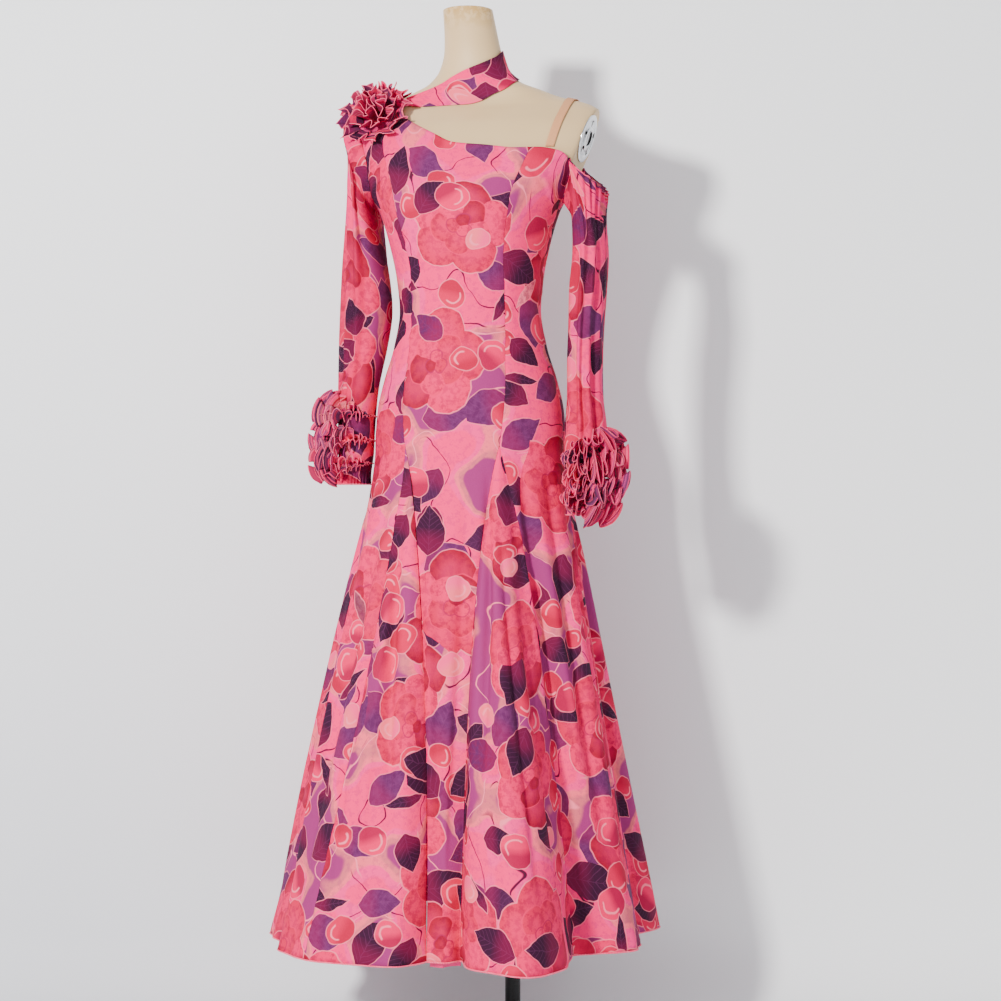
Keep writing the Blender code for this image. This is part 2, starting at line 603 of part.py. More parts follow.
def rosette(seats, made_of):
    """A round backing seated on the shoulder, and gathered strips standing on it."""
    facing = unit(np.array(ROSETTE_FACES))
    across = unit(np.cross(np.array([0.0, 0.0, 1.0]), facing))
    up = np.cross(facing, across)
    middle = np.array(ROSETTE_MIDDLE)
    near = seats - middle
    aside = near - (near @ facing)[:, None] * facing
    under = np.linalg.norm(aside, axis=1) < ROSETTE_BACKING_RADIUS * SEAT_REACH
    seat = middle + facing * ((near[under] @ facing).max() + SEAM_GAP)

    def ring(radius, height, turn):
        return (seat + facing * np.asarray(height)[..., None]
                + (across * np.cos(turn)[:, None] + up * np.sin(turn)[:, None]) * radius[..., None])

    turn = -2 * np.pi * np.arange(ROSETTE_COLUMNS) / ROSETTE_COLUMNS
    even = np.ones(ROSETTE_COLUMNS)
    radii = (ROSETTE_HOLE_RADIUS, ROSETTE_BACKING_RADIUS)
    front = np.stack([ring(radius * even, ROSETTE_BACKING_THICKNESS * even, turn) for radius in radii])
    back = np.stack([ring(radius * even, 0.0 * even, turn) for radius in radii])
    cloth("rosette_backing", front, back, made_of, ring=True)
    for name, root, edge, height, waves, depth in ROSETTE_STRIPS:
        count = waves * COLUMNS_PER_WAVE
        turn = 2 * np.pi * np.arange(count) / count
        share = np.linspace(1, 0, 3)[:, None]
        radius = root + (edge - root) * share + depth * np.sin(waves * turn) * share
        lift = ROSETTE_BACKING_THICKNESS + SEAM_GAP
        middle_grid = ring(radius, lift + np.repeat(height * share, count, axis=1), turn)
        half = ring_normals(middle_grid) * RUFFLE_CLOTH / 2
        half[-1] -= facing * (half[-1] @ facing)[:, None]
        half[-1] = unit(half[-1]) * RUFFLE_CLOTH / 2
        cloth(name, middle_grid + half, middle_grid - half, made_of, ring=True)


def form_point(deg, z, out=0.0):
    """The dress form's surface: the body's, a little smaller, and a little lower at the shoulders."""
    upper = np.clip((z - BUST_Z) / 0.03, 0, 1)
    inset = FORM_INSET + (FORM_UPPER_INSET - FORM_INSET) * upper - out
    top = BODY_SECTIONS[-1][0]
    point = body_point(deg, np.minimum(z + FORM_UPPER_DROP * upper, top), inset)
    point[..., 2] = z
    return point


def choker(made_of):
    """The band on the form's neck and shoulder, open behind the rosette."""
    deg = np.linspace(CHOKER[0][0], CHOKER[-1][0], CHOKER_COLUMNS)
    low = curve(deg, column(CHOKER, 0), column(CHOKER, 1))
    high = curve(deg, column(CHOKER, 0), column(CHOKER, 2))
    share = np.linspace(1, 0, 4)[:, None]
    z = low + (high - low) * share
    deg = np.repeat(deg[None], 4, axis=0)
    outer = form_point(deg, z, CHOKER_OUT)
    return cloth("choker_band", outer, form_point(deg, z, CHOKER_OUT - BAND_CLOTH), made_of)


def strap(made_of):
    """The narrow elastic on the form's bare shoulder, up the front, over the ridge and down behind."""
    sides = np.array([-0.5, 0.0, 0.5]) * STRAP_WIDTH
    heights = np.linspace(BUST_Z + 0.10, 1.52, 400)
    half, front, back, middle = (
        curve(heights + FORM_UPPER_DROP - STRAP_RISE, column(BODY_SECTIONS, 0), column(BODY_SECTIONS, i))
        for i in range(1, 5))
    reach = half - FORM_UPPER_INSET + STRAP_OUT
    above = np.argmax(half)
    ridge = np.interp(-(STRAP_RIDGE_X + sides), -reach[above:], heights[above:])
    share = np.sin(np.linspace(0, np.pi / 2, STRAP_STEPS))[:, None]
    z = STRAP_FOOT_Z + (ridge - STRAP_FOOT_Z) * share
    x = STRAP_FOOT_X + (STRAP_RIDGE_X - STRAP_FOOT_X) * share + sides
    stretch = np.sqrt(np.clip(1 - (x / np.interp(z, heights, reach)) ** 2, 0, 1))
    out = STRAP_OUT - FORM_UPPER_INSET
    y_front, y_back = (np.interp(z, heights, middle) + sign * (np.interp(z, heights, depth) + out) * stretch
                       for sign, depth in ((-1, front), (1, back)))
    up = np.stack([x, y_front, z], axis=-1)
    down = np.stack([x, y_back, z], axis=-1)[::-1][1:]
    outer = np.concatenate([up, down])
    outward = unit(np.cross(np.gradient(outer, axis=0), np.gradient(outer, axis=1)))
    outward *= np.sign(outward[len(up) - 1, 1, 2])
    return cloth("shoulder_strap", outer, outer - outward * BAND_CLOTH, made_of)


def lathe(name, profile, centre, made_of, columns=40):
    """A solid turned round a vertical axis. The profile is (radius, height), bottom to top."""
    turn = 2 * np.pi * np.arange(columns) / columns
    radius, height = (np.array(values)[:, None] for values in zip(*profile))
    points = np.stack(np.broadcast_arrays(radius * np.cos(turn), radius * np.sin(turn), height), axis=-1)
    points = points + np.array([*centre, 0.0])
    faces = grid_faces(len(profile), columns, True).tolist()
    faces.append(list(range(columns))[::-1])
    faces.append([(len(profile) - 1) * columns + j for j in range(columns)])
    return add_object(name, points, faces, made_of)


def dress_form(made_of):
    """The torso with its neck: rings from the closed bottom to the flat neck top."""
    lower = np.linspace(BODY_SECTIONS[0][0], HIP_Z, 5)[:-1]
    fitted = np.linspace(HIP_Z, BUST_Z, BODICE_ROWS + 1)
    upper = np.array([row[0] - FORM_UPPER_DROP for row in BODY_SECTIONS if row[0] > BUST_Z + 0.01])
    between = (upper[3:9] + upper[4:10]) / 2
    upper = np.sort(np.concatenate([upper, between]))
    z = np.concatenate([lower, fitted, upper])[:, None]
    deg = 360.0 * np.arange(FORM_COLUMNS) / FORM_COLUMNS
    points = form_point(np.repeat(deg[None], len(z), axis=0), np.repeat(z, FORM_COLUMNS, axis=1))
    cut = ARM_CUT_X + (points[..., 2] - ARM_CUT_Z) * ARM_CUT_SLOPE
    cut[points[..., 2] < BUST_Z] = max(column(BODY_SECTIONS, 1))
    points[..., 0] = np.clip(points[..., 0], -cut, cut)
    faces = grid_faces(len(z), FORM_COLUMNS, True).tolist()
    faces.append(list(range(FORM_COLUMNS))[::-1])
    faces.append([(len(z) - 1) * FORM_COLUMNS + j for j in range(FORM_COLUMNS)])
    return add_object("form_torso", points, faces, made_of)


def arm_plate(name, made_of):
    """A round plate with a hub on the slanted cut where the wearer's left arm would start."""
    turn = 2 * np.pi * np.arange(ARM_PLATE_COLUMNS) / ARM_PLATE_COLUMNS
    facing = unit(np.array([1.0, 0.0, -ARM_CUT_SLOPE]))
    up = np.array([ARM_CUT_SLOPE, 0.0, 1.0]) / math.hypot(1.0, ARM_CUT_SLOPE)
    across = np.array([0.0, 1.0, 0.0])
    profile = ((ARM_PLATE_RADIUS, 0.0), (ARM_PLATE_RADIUS, ARM_PLATE_THICKNESS * 0.6),
               (ARM_PLATE_RADIUS - 0.002, ARM_PLATE_THICKNESS),
               (ARM_PLATE_HUB_RADIUS, ARM_PLATE_THICKNESS),
               (ARM_PLATE_HUB_RADIUS - 0.001, ARM_PLATE_THICKNESS + ARM_PLATE_HUB_HEIGHT))
    centre = np.array([ARM_CUT_X, ARM_MIDDLE_Y, ARM_CUT_Z]) + facing * SEAM_GAP
    rings = [centre + facing * height
             + (across * np.cos(turn)[:, None] + up * np.sin(turn)[:, None]) * radius
             for radius, height in profile]
    columns = ARM_PLATE_COLUMNS
    faces = grid_faces(len(profile), columns, True).tolist()
    faces.append(list(range(columns))[::-1])
    faces.append([(len(profile) - 1) * columns + j for j in range(columns)])
    return add_object(name, np.array(rings), faces, made_of)


def main():
    for obj in list(bpy.data.objects):
        bpy.data.objects.remove(obj, do_unlink=True)
    print_cloth = material("printed_crepe", (0.72, 0.17, 0.24), 0.85)
    sheer_cloth = material("printed_sheer", (0.60, 0.22, 0.28), 0.80)
    pink_cloth = material("pink_lining", (0.85, 0.30, 0.40), 0.80)
    nude_elastic = material("nude_elastic", (0.62, 0.42, 0.30), 0.75)
    form_shell = material("form_shell", (0.62, 0.55, 0.45), 0.60)
    chrome = material("arm_plate_metal", (0.55, 0.56, 0.57), 0.25, 1.0)
    black_metal = material("black_metal", (0.02, 0.02, 0.02), 0.35, 0.6)

    for name, first, last in PANELS:
        body_panel(name, first, last, print_cloth)
    for name, first, last in GODETS:
        godet(name, first, last, print_cloth)
    lining(pink_cloth)

    right, right_out = sleeve("sleeve_right", right_top_ring, RIGHT_SLEEVE, -1, sheer_cloth)
    left, left_out = sleeve("sleeve_left", left_top_ring, LEFT_SLEEVE, 1, sheer_cloth)
    for number, row in enumerate(RUFFLE_ROWS_RIGHT, 1):
        cuff_ruffle(f"cuff_ruffle_right_{number}", right, right_out, row, -1, sheer_cloth)
    for number, row in enumerate(RUFFLE_ROWS_LEFT, 1):
        cuff_ruffle(f"cuff_ruffle_left_{number}", left, left_out, row, 1, sheer_cloth)

    places = line_columns(27, 29)
    shoulder = body_point(*panel_grid(27, 29, places))
    chest = body_point(*panel_grid(0, 2, line_columns(0, 2)))
    seats = np.concatenate([finer(grid) for grid in (shoulder, chest, right)])
    rosette(seats, sheer_cloth)
    choker(print_cloth)
    strap(nude_elastic)

    dress_form(form_shell)
    arm_plate("arm_plate_left", chrome)
    pole_top = BODY_SECTIONS[0][0] - SEAM_GAP
    pole_foot = BASE_THICKNESS + SEAM_GAP
    lathe("pole", ((POLE_RADIUS, pole_foot), (POLE_RADIUS, pole_top)), (POLE_X, 0.0), black_metal, 24)
    chamfer = 0.003
    lathe("base", ((BASE_RADIUS, 0.0), (BASE_RADIUS, BASE_THICKNESS - chamfer),
                   (BASE_RADIUS - chamfer, BASE_THICKNESS)), (0.0, 0.0), black_metal)


main()
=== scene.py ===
"""A printed ballroom practice dress on a limbless dress form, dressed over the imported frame.

Every piece is a surface worked out from the same named sizes as its solid, in metres and in the
frame's own place. Angles round the body are in degrees from the front (-Y) towards +X, which is
the wearer's left.
"""

import math

import bmesh
import bpy
import numpy as np
from bpy.props import FloatProperty, FloatVectorProperty, PointerProperty
from bpy.types import Operator, Panel, PropertyGroup
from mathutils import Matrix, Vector


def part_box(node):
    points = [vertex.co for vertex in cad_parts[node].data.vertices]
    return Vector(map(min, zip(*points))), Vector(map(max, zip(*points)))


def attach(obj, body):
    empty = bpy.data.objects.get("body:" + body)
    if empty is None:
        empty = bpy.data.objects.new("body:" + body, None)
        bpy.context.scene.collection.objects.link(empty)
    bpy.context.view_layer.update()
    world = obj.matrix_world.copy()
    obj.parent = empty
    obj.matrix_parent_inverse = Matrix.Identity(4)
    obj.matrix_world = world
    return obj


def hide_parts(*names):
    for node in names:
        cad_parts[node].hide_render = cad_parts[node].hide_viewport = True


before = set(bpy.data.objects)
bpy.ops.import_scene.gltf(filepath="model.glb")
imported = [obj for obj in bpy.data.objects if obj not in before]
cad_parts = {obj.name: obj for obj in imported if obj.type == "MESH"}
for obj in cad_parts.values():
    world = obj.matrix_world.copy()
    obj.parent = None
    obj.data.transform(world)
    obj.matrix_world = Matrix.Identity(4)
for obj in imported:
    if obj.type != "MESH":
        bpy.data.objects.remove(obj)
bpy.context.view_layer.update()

bl_info = {
    "name": "Ballroom practice dress",
    "version": (1, 0, 0),
    "blender": (4, 5, 0),
    "location": "View3D > Sidebar > Dress",
    "description": "Dresses the packed frame with a printed ballroom dress on a dress form",
    "category": "Object",
}

# The body under the dress: height, half width, depth in front, depth behind, middle.
BODY_SECTIONS = (
    (0.800, 0.1150, 0.0800, 0.0950, 0.000), (0.830, 0.1400, 0.1000, 0.1160, 0.000),
    (0.880, 0.1490, 0.1090, 0.1250, 0.000), (0.945, 0.1535, 0.1130, 0.1280, 0.000),
    (1.000, 0.1500, 0.1100, 0.1230, 0.000), (1.050, 0.1390, 0.1020, 0.1110, 0.000),
    (1.100, 0.1235, 0.0930, 0.0980, 0.000), (1.160, 0.1135, 0.0870, 0.0900, 0.000),
    (1.210, 0.1180, 0.0940, 0.0930, 0.000), (1.260, 0.1280, 0.1060, 0.0980, 0.000),
    (1.310, 0.1430, 0.1150, 0.1030, 0.000), (1.345, 0.1620, 0.1160, 0.1030, 0.003),
    (1.380, 0.1880, 0.1130, 0.0990, 0.009), (1.420, 0.2120, 0.1040, 0.0880, 0.017),
    (1.450, 0.2200, 0.0900, 0.0720, 0.023), (1.470, 0.2140, 0.0740, 0.0580, 0.027),
    (1.484, 0.1950, 0.0620, 0.0500, 0.028), (1.497, 0.1500, 0.0560, 0.0460, 0.027),
    (1.511, 0.1150, 0.0530, 0.0460, 0.025), (1.525, 0.0820, 0.0520, 0.0470, 0.023),
    (1.545, 0.0620, 0.0510, 0.0480, 0.020), (1.571, 0.0525, 0.0510, 0.0490, 0.016),
    (1.600, 0.0485, 0.0490, 0.0490, 0.005), (1.634, 0.0455, 0.0460, 0.0460, -0.012),
)
HEM_Z, HIP_Z, BUST_Z = 0.178, 0.945, 1.310
BUST_RISE, BUST_ANGLE, BUST_SPREAD_DEG, BUST_SPREAD_Z = 0.010, 34.0, 20.0, 0.045
PRINCESS_SEAM = ((0.945, 30.0), (1.050, 36.0), (1.160, 42.0), (1.230, 39.0), (1.310, 36.8),
                 (1.400, 36.0), (1.487, 33.0))
TOP_EDGE = ((-33, 1.487), (-24, 1.460), (-18, 1.447), (-10, 1.431), (0, 1.413), (14, 1.407),
            (28, 1.402), (40, 1.403), (52, 1.399), (62, 1.388), (76, 1.358), (90, 1.326),
            (104, 1.356), (118, 1.386), (135, 1.398), (155, 1.405), (180, 1.420), (198, 1.445),
            (213, 1.487))

# Lines down the skirt: degrees round the hip, degrees and radius at the hem, how soon it swings.
SKIRT_LINES = (
    (-30, 1, 0.238, 0.35), (0, 7, 0.243, 0.30), (30, 13, 0.226, 0.25), (30, 15, 0.268, 0.25),
    (30, 22, 0.312, 0.25), (30, 31, 0.355, 0.25), (30, 42, 0.318, 0.25), (30, 57, 0.243, 0.25),
    (62, 66, 0.262, 0.6), (78, 76, 0.291, 0.6), (90, 86, 0.279, 0.3), (90, 102, 0.262, 0.3),
    (90, 115, 0.308, 0.3), (90, 128, 0.262, 0.3), (125, 138, 0.247, 0.6), (150, 147, 0.268, 0.3),
    (150, 158, 0.312, 0.3), (150, 171, 0.250, 0.3), (180, 182, 0.262, 0.6), (210, 193, 0.248, 0.3),
    (210, 206, 0.310, 0.3), (210, 218, 0.262, 0.3), (238, 230, 0.246, 0.6), (270, 243, 0.268, 0.3),
    (270, 258, 0.306, 0.3), (270, 272, 0.290, 0.3), (270, 286, 0.314, 0.3), (270, 303, 0.302, 0.3),
    (300, 313, 0.322, 0.6), (330, 327, 0.325, 0.35), (330, 342, 0.303, 0.35),
    (330, 354, 0.290, 0.35), (330, 359, 0.262, 0.35), (330, 361, 0.238, 0.35),
)
MEAN_HEM_RADIUS = 0.280
KNEE = 0.05

# Each panel and godet: first and last of the lines above, and where its cut lies on the print.
PANELS = (
    ("centre_front", 0, 2, (0.10, -0.045)),
    ("side_front_left", 7, 10, (1.34, 0.31)),
    ("side_back_left", 13, 15, (2.42, 0.17)),
    ("centre_back", 17, 19, (3.15, 0.44)),
    ("side_back_right", 21, 23, (4.23, 0.05)),
    ("side_front_right", 27, 29, (5.38, 0.27)),
)
GODETS = (
    ("godet_front_left", 2, 7, (6.12, 0.33)),
    ("godet_side_left", 10, 13, (7.31, 0.12)),
    ("godet_back_left", 15, 17, (8.27, 0.41)),
    ("godet_back_right", 19, 21, (9.18, 0.23)),
    ("godet_side_right", 23, 27, (10.4, 0.37)),
    ("godet_front_right", 29, 33, (11.2, 0.09)),
)
BODICE_ROWS, UPPER_ROWS, ROWS_BETWEEN, SKIRT_ROWS = 9, 6, 5, 96
COLUMN_STEP = 0.0055
ARMHOLE_TOP_Z, ARMHOLE_BOTTOM_Z, ARMHOLE_HALF_DEG = 1.489, 1.337, 40.0
NECK_POINT_Z, NECK_RIDGE_Z, NECK_TURN_DEG = 1.487, 1.515, 19.0

# The dress form.
FORM_INSET, FORM_UPPER_INSET, FORM_UPPER_DROP = 0.0028, 0.0065, 0.003
ARM_CUT_X, ARM_CUT_Z, ARM_CUT_SLOPE, ARM_MIDDLE_Y = 0.187, 1.4256, 0.33, 0.012
ARM_PLATE_RADIUS = 0.038
POLE_X, POLE_RADIUS = 0.070, 0.012
BASE_RADIUS, BASE_THICKNESS = 0.190, 0.018

# Sleeve rings from the top. Outer and inner x and height, middle y, half depth.
RIGHT_SLEEVE = (
    (-0.2100, 1.4750, -0.1600, 1.327, 0.014, 0.062), (-0.2000, 1.430, -0.1595, 1.315, 0.012, 0.062),
    (-0.2015, 1.375, -0.1540, 1.290, 0.008, 0.058), (-0.2040, 1.305, -0.1430, 1.250, 0.002, 0.053),
    (-0.2075, 1.235, -0.1325, 1.200, -0.004, 0.050), (-0.2110, 1.170, -0.1300, 1.155, -0.004, 0.049),
    (-0.2135, 1.105, -0.1380, 1.105, -0.004, 0.048), (-0.2150, 1.040, -0.1525, 1.040, -0.004, 0.045),
    (-0.2160, 0.980, -0.1585, 0.980, -0.004, 0.041), (-0.2160, 0.935, -0.1610, 0.935, -0.004, 0.038),
    (-0.2215, 0.907, -0.1660, 0.907, -0.004, 0.037), (-0.2240, 0.886, -0.1680, 0.886, -0.004, 0.037),
)
LEFT_SLEEVE = (
    (0.2205, 1.300, 0.1705, 1.295, -0.010, 0.047), (0.2255, 1.242, 0.1715, 1.242, -0.010, 0.048),
    (0.2230, 1.190, 0.1664, 1.190, -0.010, 0.048), (0.2185, 1.130, 0.1650, 1.130, -0.010, 0.047),
    (0.2170, 1.080, 0.1635, 1.080, -0.012, 0.046), (0.2185, 1.020, 0.1637, 1.020, -0.015, 0.044),
    (0.2255, 0.970, 0.1610, 0.970, -0.020, 0.042), (0.2230, 0.930, 0.1620, 0.930, -0.028, 0.038),
    (0.2195, 0.890, 0.1680, 0.890, -0.037, 0.034), (0.2090, 0.860, 0.1700, 0.860, -0.044, 0.030),
    (0.2030, 0.838, 0.1710, 0.838, -0.048, 0.028),
)
LEFT_TOP_OUTER, LEFT_TOP_LIFT, LEFT_TOP_Y = (0.2215, 1.334), 0.030, -0.002
LEFT_TOP_HALF_DEPTH, LEFT_ARMHOLE_HALF_DEG = 0.050, 28.0
SLEEVE_COLUMNS, RINGS_BETWEEN = 144, 8

# Long folds of the sleeves: degrees round the top and the cuff, width in degrees, depth, and
# the stretch of the sleeve that they run over, as shares of its length.
RIGHT_FOLDS = (
    (38, 44, 12, -0.0058, 0.02, 0.98), (72, 66, 10, -0.0050, 0.05, 0.90),
    (112, 106, 14, -0.0058, 0.00, 0.85), (215, 210, 13, -0.0050, 0.05, 0.90),
    (262, 268, 12, -0.0058, 0.10, 0.95), (318, 322, 14, -0.0050, 0.00, 0.92),
    (55, 58, 6, 0.0022, 0.05, 0.75), (92, 84, 6, 0.0024, 0.02, 0.70),
    (20, 12, 7, 0.0020, 0.15, 0.88), (240, 238, 7, 0.0022, 0.10, 0.80),
    (340, 300, 8, -0.0026, 0.35, 0.75), (64, 96, 8, -0.0024, 0.42, 0.70),
    (30, 70, 7, -0.0022, 0.58, 0.86), (290, 250, 8, -0.0024, 0.50, 0.82),
)
LEFT_FOLDS = (
    (38, 34, 12, -0.0058, 0.05, 0.95), (72, 78, 10, -0.0050, 0.02, 0.92),
    (112, 104, 14, -0.0058, 0.10, 0.90), (215, 220, 13, -0.0050, 0.05, 0.90),
    (262, 256, 12, -0.0058, 0.00, 0.95), (318, 314, 14, -0.0050, 0.10, 0.92),
    (54, 58, 6, 0.0024, 0.00, 0.62), (90, 88, 7, 0.0022, 0.05, 0.80),
    (15, 22, 8, 0.0020, 0.10, 0.85), (286, 290, 7, 0.0022, 0.15, 0.80),
    (40, 84, 8, -0.0026, 0.30, 0.48), (100, 60, 8, -0.0026, 0.46, 0.66),
    (60, 104, 8, -0.0030, 0.66, 0.84), (120, 78, 8, -0.0028, 0.74, 0.90),
    (240, 280, 8, -0.0024, 0.40, 0.60),
)

# Cuff ruffles: sleeve ring of the row, how far it stands out, its tilt up in degrees.
RUFFLE_FOLDS, RUFFLE_SWING_DEG, RUFFLE_OPEN_DEG = 36, 24.0, 27.0
COLUMNS_PER_FOLD, RUFFLE_ROWS = 14, 17
RUFFLE_ROOT_OUT, RUFFLE_CURL, RUFFLE_SMALL_CURL = 0.0006, 0.0052, 0.0016
RUFFLE_EDGE_SHARE = 0.32
RUFFLE_ROWS_RIGHT = ((8.72, 0.040, 26), (9.55, 0.042, 4), (10.50, 0.038, -14))
RUFFLE_ROWS_LEFT = ((8.07, 0.046, 22), (8.87, 0.048, 0), (9.75, 0.046, -24))
RUFFLE_LEAST, RUFFLE_FULLEST_DEG, RUFFLE_POWER = 0.03, 35.0, 2.1

# The rosette: root radius, edge radius and height of each strip, its waves and their depth.
ROSETTE_STRIPS = (
    ("rosette_strip_1", 0.0040, 0.0110, 0.038, 5, 0.0040),
    ("rosette_strip_2", 0.0125, 0.0250, 0.034, 7, 0.0060),
    ("rosette_strip_3", 0.0225, 0.0400, 0.026, 10, 0.0070),
    ("rosette_strip_4", 0.0320, 0.0560, 0.014, 13, 0.0070),
)
ROSETTE_FACES = (-0.10, -0.84, 0.53)
ROSETTE_BACKING_RADIUS, ROSETTE_DROOP = 0.037, 0.09
ROSETTE_HOLE, ROSETTE_DOME, ROSETTE_BACKING, STRIP_FOOT = 0.001, 0.0022, 0.0012, 0.0024

# Choker band on the form: degrees round the neck, lower and upper edge. The rows from 0 to 106
# degrees, and the lower edge at -18, are edges read off the photograph by hand and projected onto
# the form by a scratch script, some rounded.
CHOKER = ((-52, 1.4890, 1.5030), (-37, 1.4870, 1.5110), (-18, 1.4815, 1.5270),
          (0, 1.4815, 1.5360), (20, 1.4975, 1.5436), (45, 1.5126, 1.5531), (60, 1.5180, 1.5585),
          (75, 1.5222, 1.5650), (90, 1.5255, 1.5704), (106, 1.5270, 1.5735), (135, 1.5270, 1.5740),
          (180, 1.5150, 1.5600), (208, 1.4980, 1.5280), (222, 1.4900, 1.5060), (236, 1.4870, 1.4990))
CHOKER_OUT = 0.0032

STRAP_WIDTH, STRAP_FOOT_X, STRAP_RIDGE_X, STRAP_FOOT_Z = 0.012, 0.145, 0.163, 1.4050
STRAP_OUT, STRAP_CLOTH = 0.0022, 0.0011
LINING_INSIDE_TOP, LINING_INSIDE_HEM, LINING_LONGER = 0.0017, 0.010, 0.008

# Creases of the body. Degrees round and height of both ends, width, and how far the
# cloth stands out (ridge) or in (trough).
BODICE_CREASES = (
    (-52, 1.395, -18, 1.330, 0.007, 0.0022), (-44, 1.350, -10, 1.300, 0.006, 0.0016),
    (-20, 1.400, 6, 1.352, 0.006, 0.0014), (44, 1.385, 66, 1.335, 0.006, 0.0020),
    (58, 1.372, 80, 1.318, 0.005, 0.0018), (28, 1.392, 40, 1.346, 0.006, 0.0014),
    (-66, 1.262, -20, 1.236, 0.007, 0.0018), (20, 1.232, 64, 1.262, 0.007, 0.0018),
    (-70, 1.196, -30, 1.180, 0.006, 0.0022), (-20, 1.176, 26, 1.170, 0.006, 0.0016),
    (24, 1.186, 70, 1.204, 0.006, 0.0022), (-62, 1.146, -14, 1.152, 0.006, 0.0020),
    (4, 1.142, 58, 1.154, 0.006, 0.0020), (30, 1.118, 78, 1.100, 0.007, 0.0020),
    (-74, 1.104, -34, 1.118, 0.007, 0.0018), (-30, 1.070, 16, 1.050, 0.008, 0.0016),
    (20, 1.040, 60, 1.066, 0.008, 0.0016), (100, 1.190, 150, 1.178, 0.007, 0.0022),
    (160, 1.168, 205, 1.172, 0.006, 0.0020), (212, 1.182, 258, 1.194, 0.007, 0.0022),
    (120, 1.140, 170, 1.150, 0.007, 0.0020), (186, 1.144, 240, 1.136, 0.007, 0.0020),
    (140, 1.220, 176, 1.240, 0.008, 0.0016), (196, 1.262, 236, 1.236, 0.008, 0.0016),
    (110, 1.360, 150, 1.330, 0.007, 0.0018), (216, 1.330, 250, 1.372, 0.007, 0.0018),
)
SKIRT_CREASES = (
    (-12, 0.900, 4, 0.300, 0.010, 0.0050), (14, 0.880, 8, 0.260, 0.010, -0.0050),
    (-4, 0.700, 6, 0.200, 0.009, -0.0040), (30, 0.905, 19, 0.420, 0.006, -0.0075),
    (31, 0.890, 27, 0.240, 0.009, 0.0045), (33, 0.850, 36, 0.260, 0.008, -0.0060),
    (42, 0.760, 47, 0.200, 0.010, -0.0060), (46, 0.900, 53, 0.500, 0.007, 0.0045),
    (52, 0.940, 62, 0.300, 0.008, -0.0070), (60, 0.900, 70, 0.240, 0.009, 0.0050),
    (70, 0.920, 72, 0.320, 0.008, -0.0060), (84, 0.900, 82, 0.260, 0.009, -0.0055),
    (-34, 0.900, -12, 0.360, 0.008, -0.0075), (-30, 0.860, -20, 0.240, 0.009, 0.0050),
    (-36, 0.820, -30, 0.220, 0.010, -0.0055), (-48, 0.920, -42, 0.240, 0.010, -0.0050),
    (-58, 0.880, -50, 0.300, 0.010, 0.0040), (-70, 0.920, -60, 0.220, 0.009, -0.0065),
    (-80, 0.840, -72, 0.260, 0.010, 0.0045), (-92, 0.900, -86, 0.240, 0.009, -0.0060),
    (98, 0.880, 106, 0.230, 0.009, -0.0060), (112, 0.860, 120, 0.300, 0.010, 0.0045),
    (128, 0.910, 132, 0.220, 0.009, -0.0060), (146, 0.880, 152, 0.260, 0.009, -0.0055),
    (160, 0.860, 164, 0.210, 0.010, 0.0045), (172, 0.920, 176, 0.300, 0.009, -0.0060),
    (188, 0.880, 188, 0.220, 0.010, 0.0040), (204, 0.900, 199, 0.260, 0.009, -0.0060),
    (216, 0.870, 212, 0.210, 0.010, 0.0045), (232, 0.910, 226, 0.280, 0.009, -0.0060),
    (246, 0.880, 238, 0.220, 0.010, -0.0050), (262, 0.860, 252, 0.240, 0.010, 0.0045),
)


# Fine shape of the cloth: puckers beside a seam, the flutter of the hem, the folded top edge, and
# the gathers of a sleeve at its cuff, at the ruffles and at its free top.
PUCKER_SPACING, PUCKER_REACH = 0.012, 0.010
FLUTTER_WAVES, FLUTTER_HEIGHT, FLUTTER_REACH = 38, 0.0022, 0.035
TOP_FOLD_HEIGHT, TOP_FOLD_REACH = 0.0007, 0.004
TOP_STITCH_DEPTH, TOP_STITCH_DOWN, TOP_STITCH_REACH = 0.0005, 0.009, 0.0025
CUFF_GATHERS, CUFF_GATHER_HEIGHT, CUFF_GATHER_REACH = 31, 0.0013, 0.045
PLEAT_HEIGHT, PLEAT_SPACING, PLEAT_DEG, PLEAT_SPREAD_DEG = 0.0020, 0.017, 85, 34
PLEAT_DOWN, PLEAT_REACH = 0.83, 0.09
RIGHT_TOP_GATHER, LEFT_TOP_GATHER, TOP_GATHERS, TOP_ROLL_OUT = 0.0006, 0.0024, 26, 0.0006


def unit(vectors):
    """Vectors scaled to length one along the last axis."""
    return vectors / np.linalg.norm(vectors, axis=-1, keepdims=True)


def smooth(share):
    """Nought to one with a flat start and end: 3 t squared less 2 t cubed."""
    share = np.clip(share, 0, 1)
    return share * share * (3 - 2 * share)


def curve(at, keys, values):
    """A smooth curve through the rows (keys, values): a cubic with slopes that never overshoot."""
    keys = np.asarray(keys, float)
    values = np.asarray(values, float)
    rise = np.diff(values) / np.diff(keys)
    slopes = np.zeros_like(values)
    inner = (rise[1:] * rise[:-1] > 0)
    total = np.where(inner, rise[1:] + rise[:-1], 1.0)
    slopes[1:-1] = np.where(inner, 2 * rise[1:] * rise[:-1] / total, 0.0)
    slopes[0], slopes[-1] = rise[0], rise[-1]
    at = np.clip(np.asarray(at, float), keys[0], keys[-1])
    i = np.clip(np.searchsorted(keys, at, side="right") - 1, 0, len(keys) - 2)
    step = keys[i + 1] - keys[i]
    t = (at - keys[i]) / step
    return (values[i] * (2 * t**3 - 3 * t**2 + 1) + values[i + 1] * (3 * t**2 - 2 * t**3)
            + step * (slopes[i] * (t**3 - 2 * t**2 + t) + slopes[i + 1] * (t**3 - t**2)))


def column(table, index):
    return [row[index] for row in table]


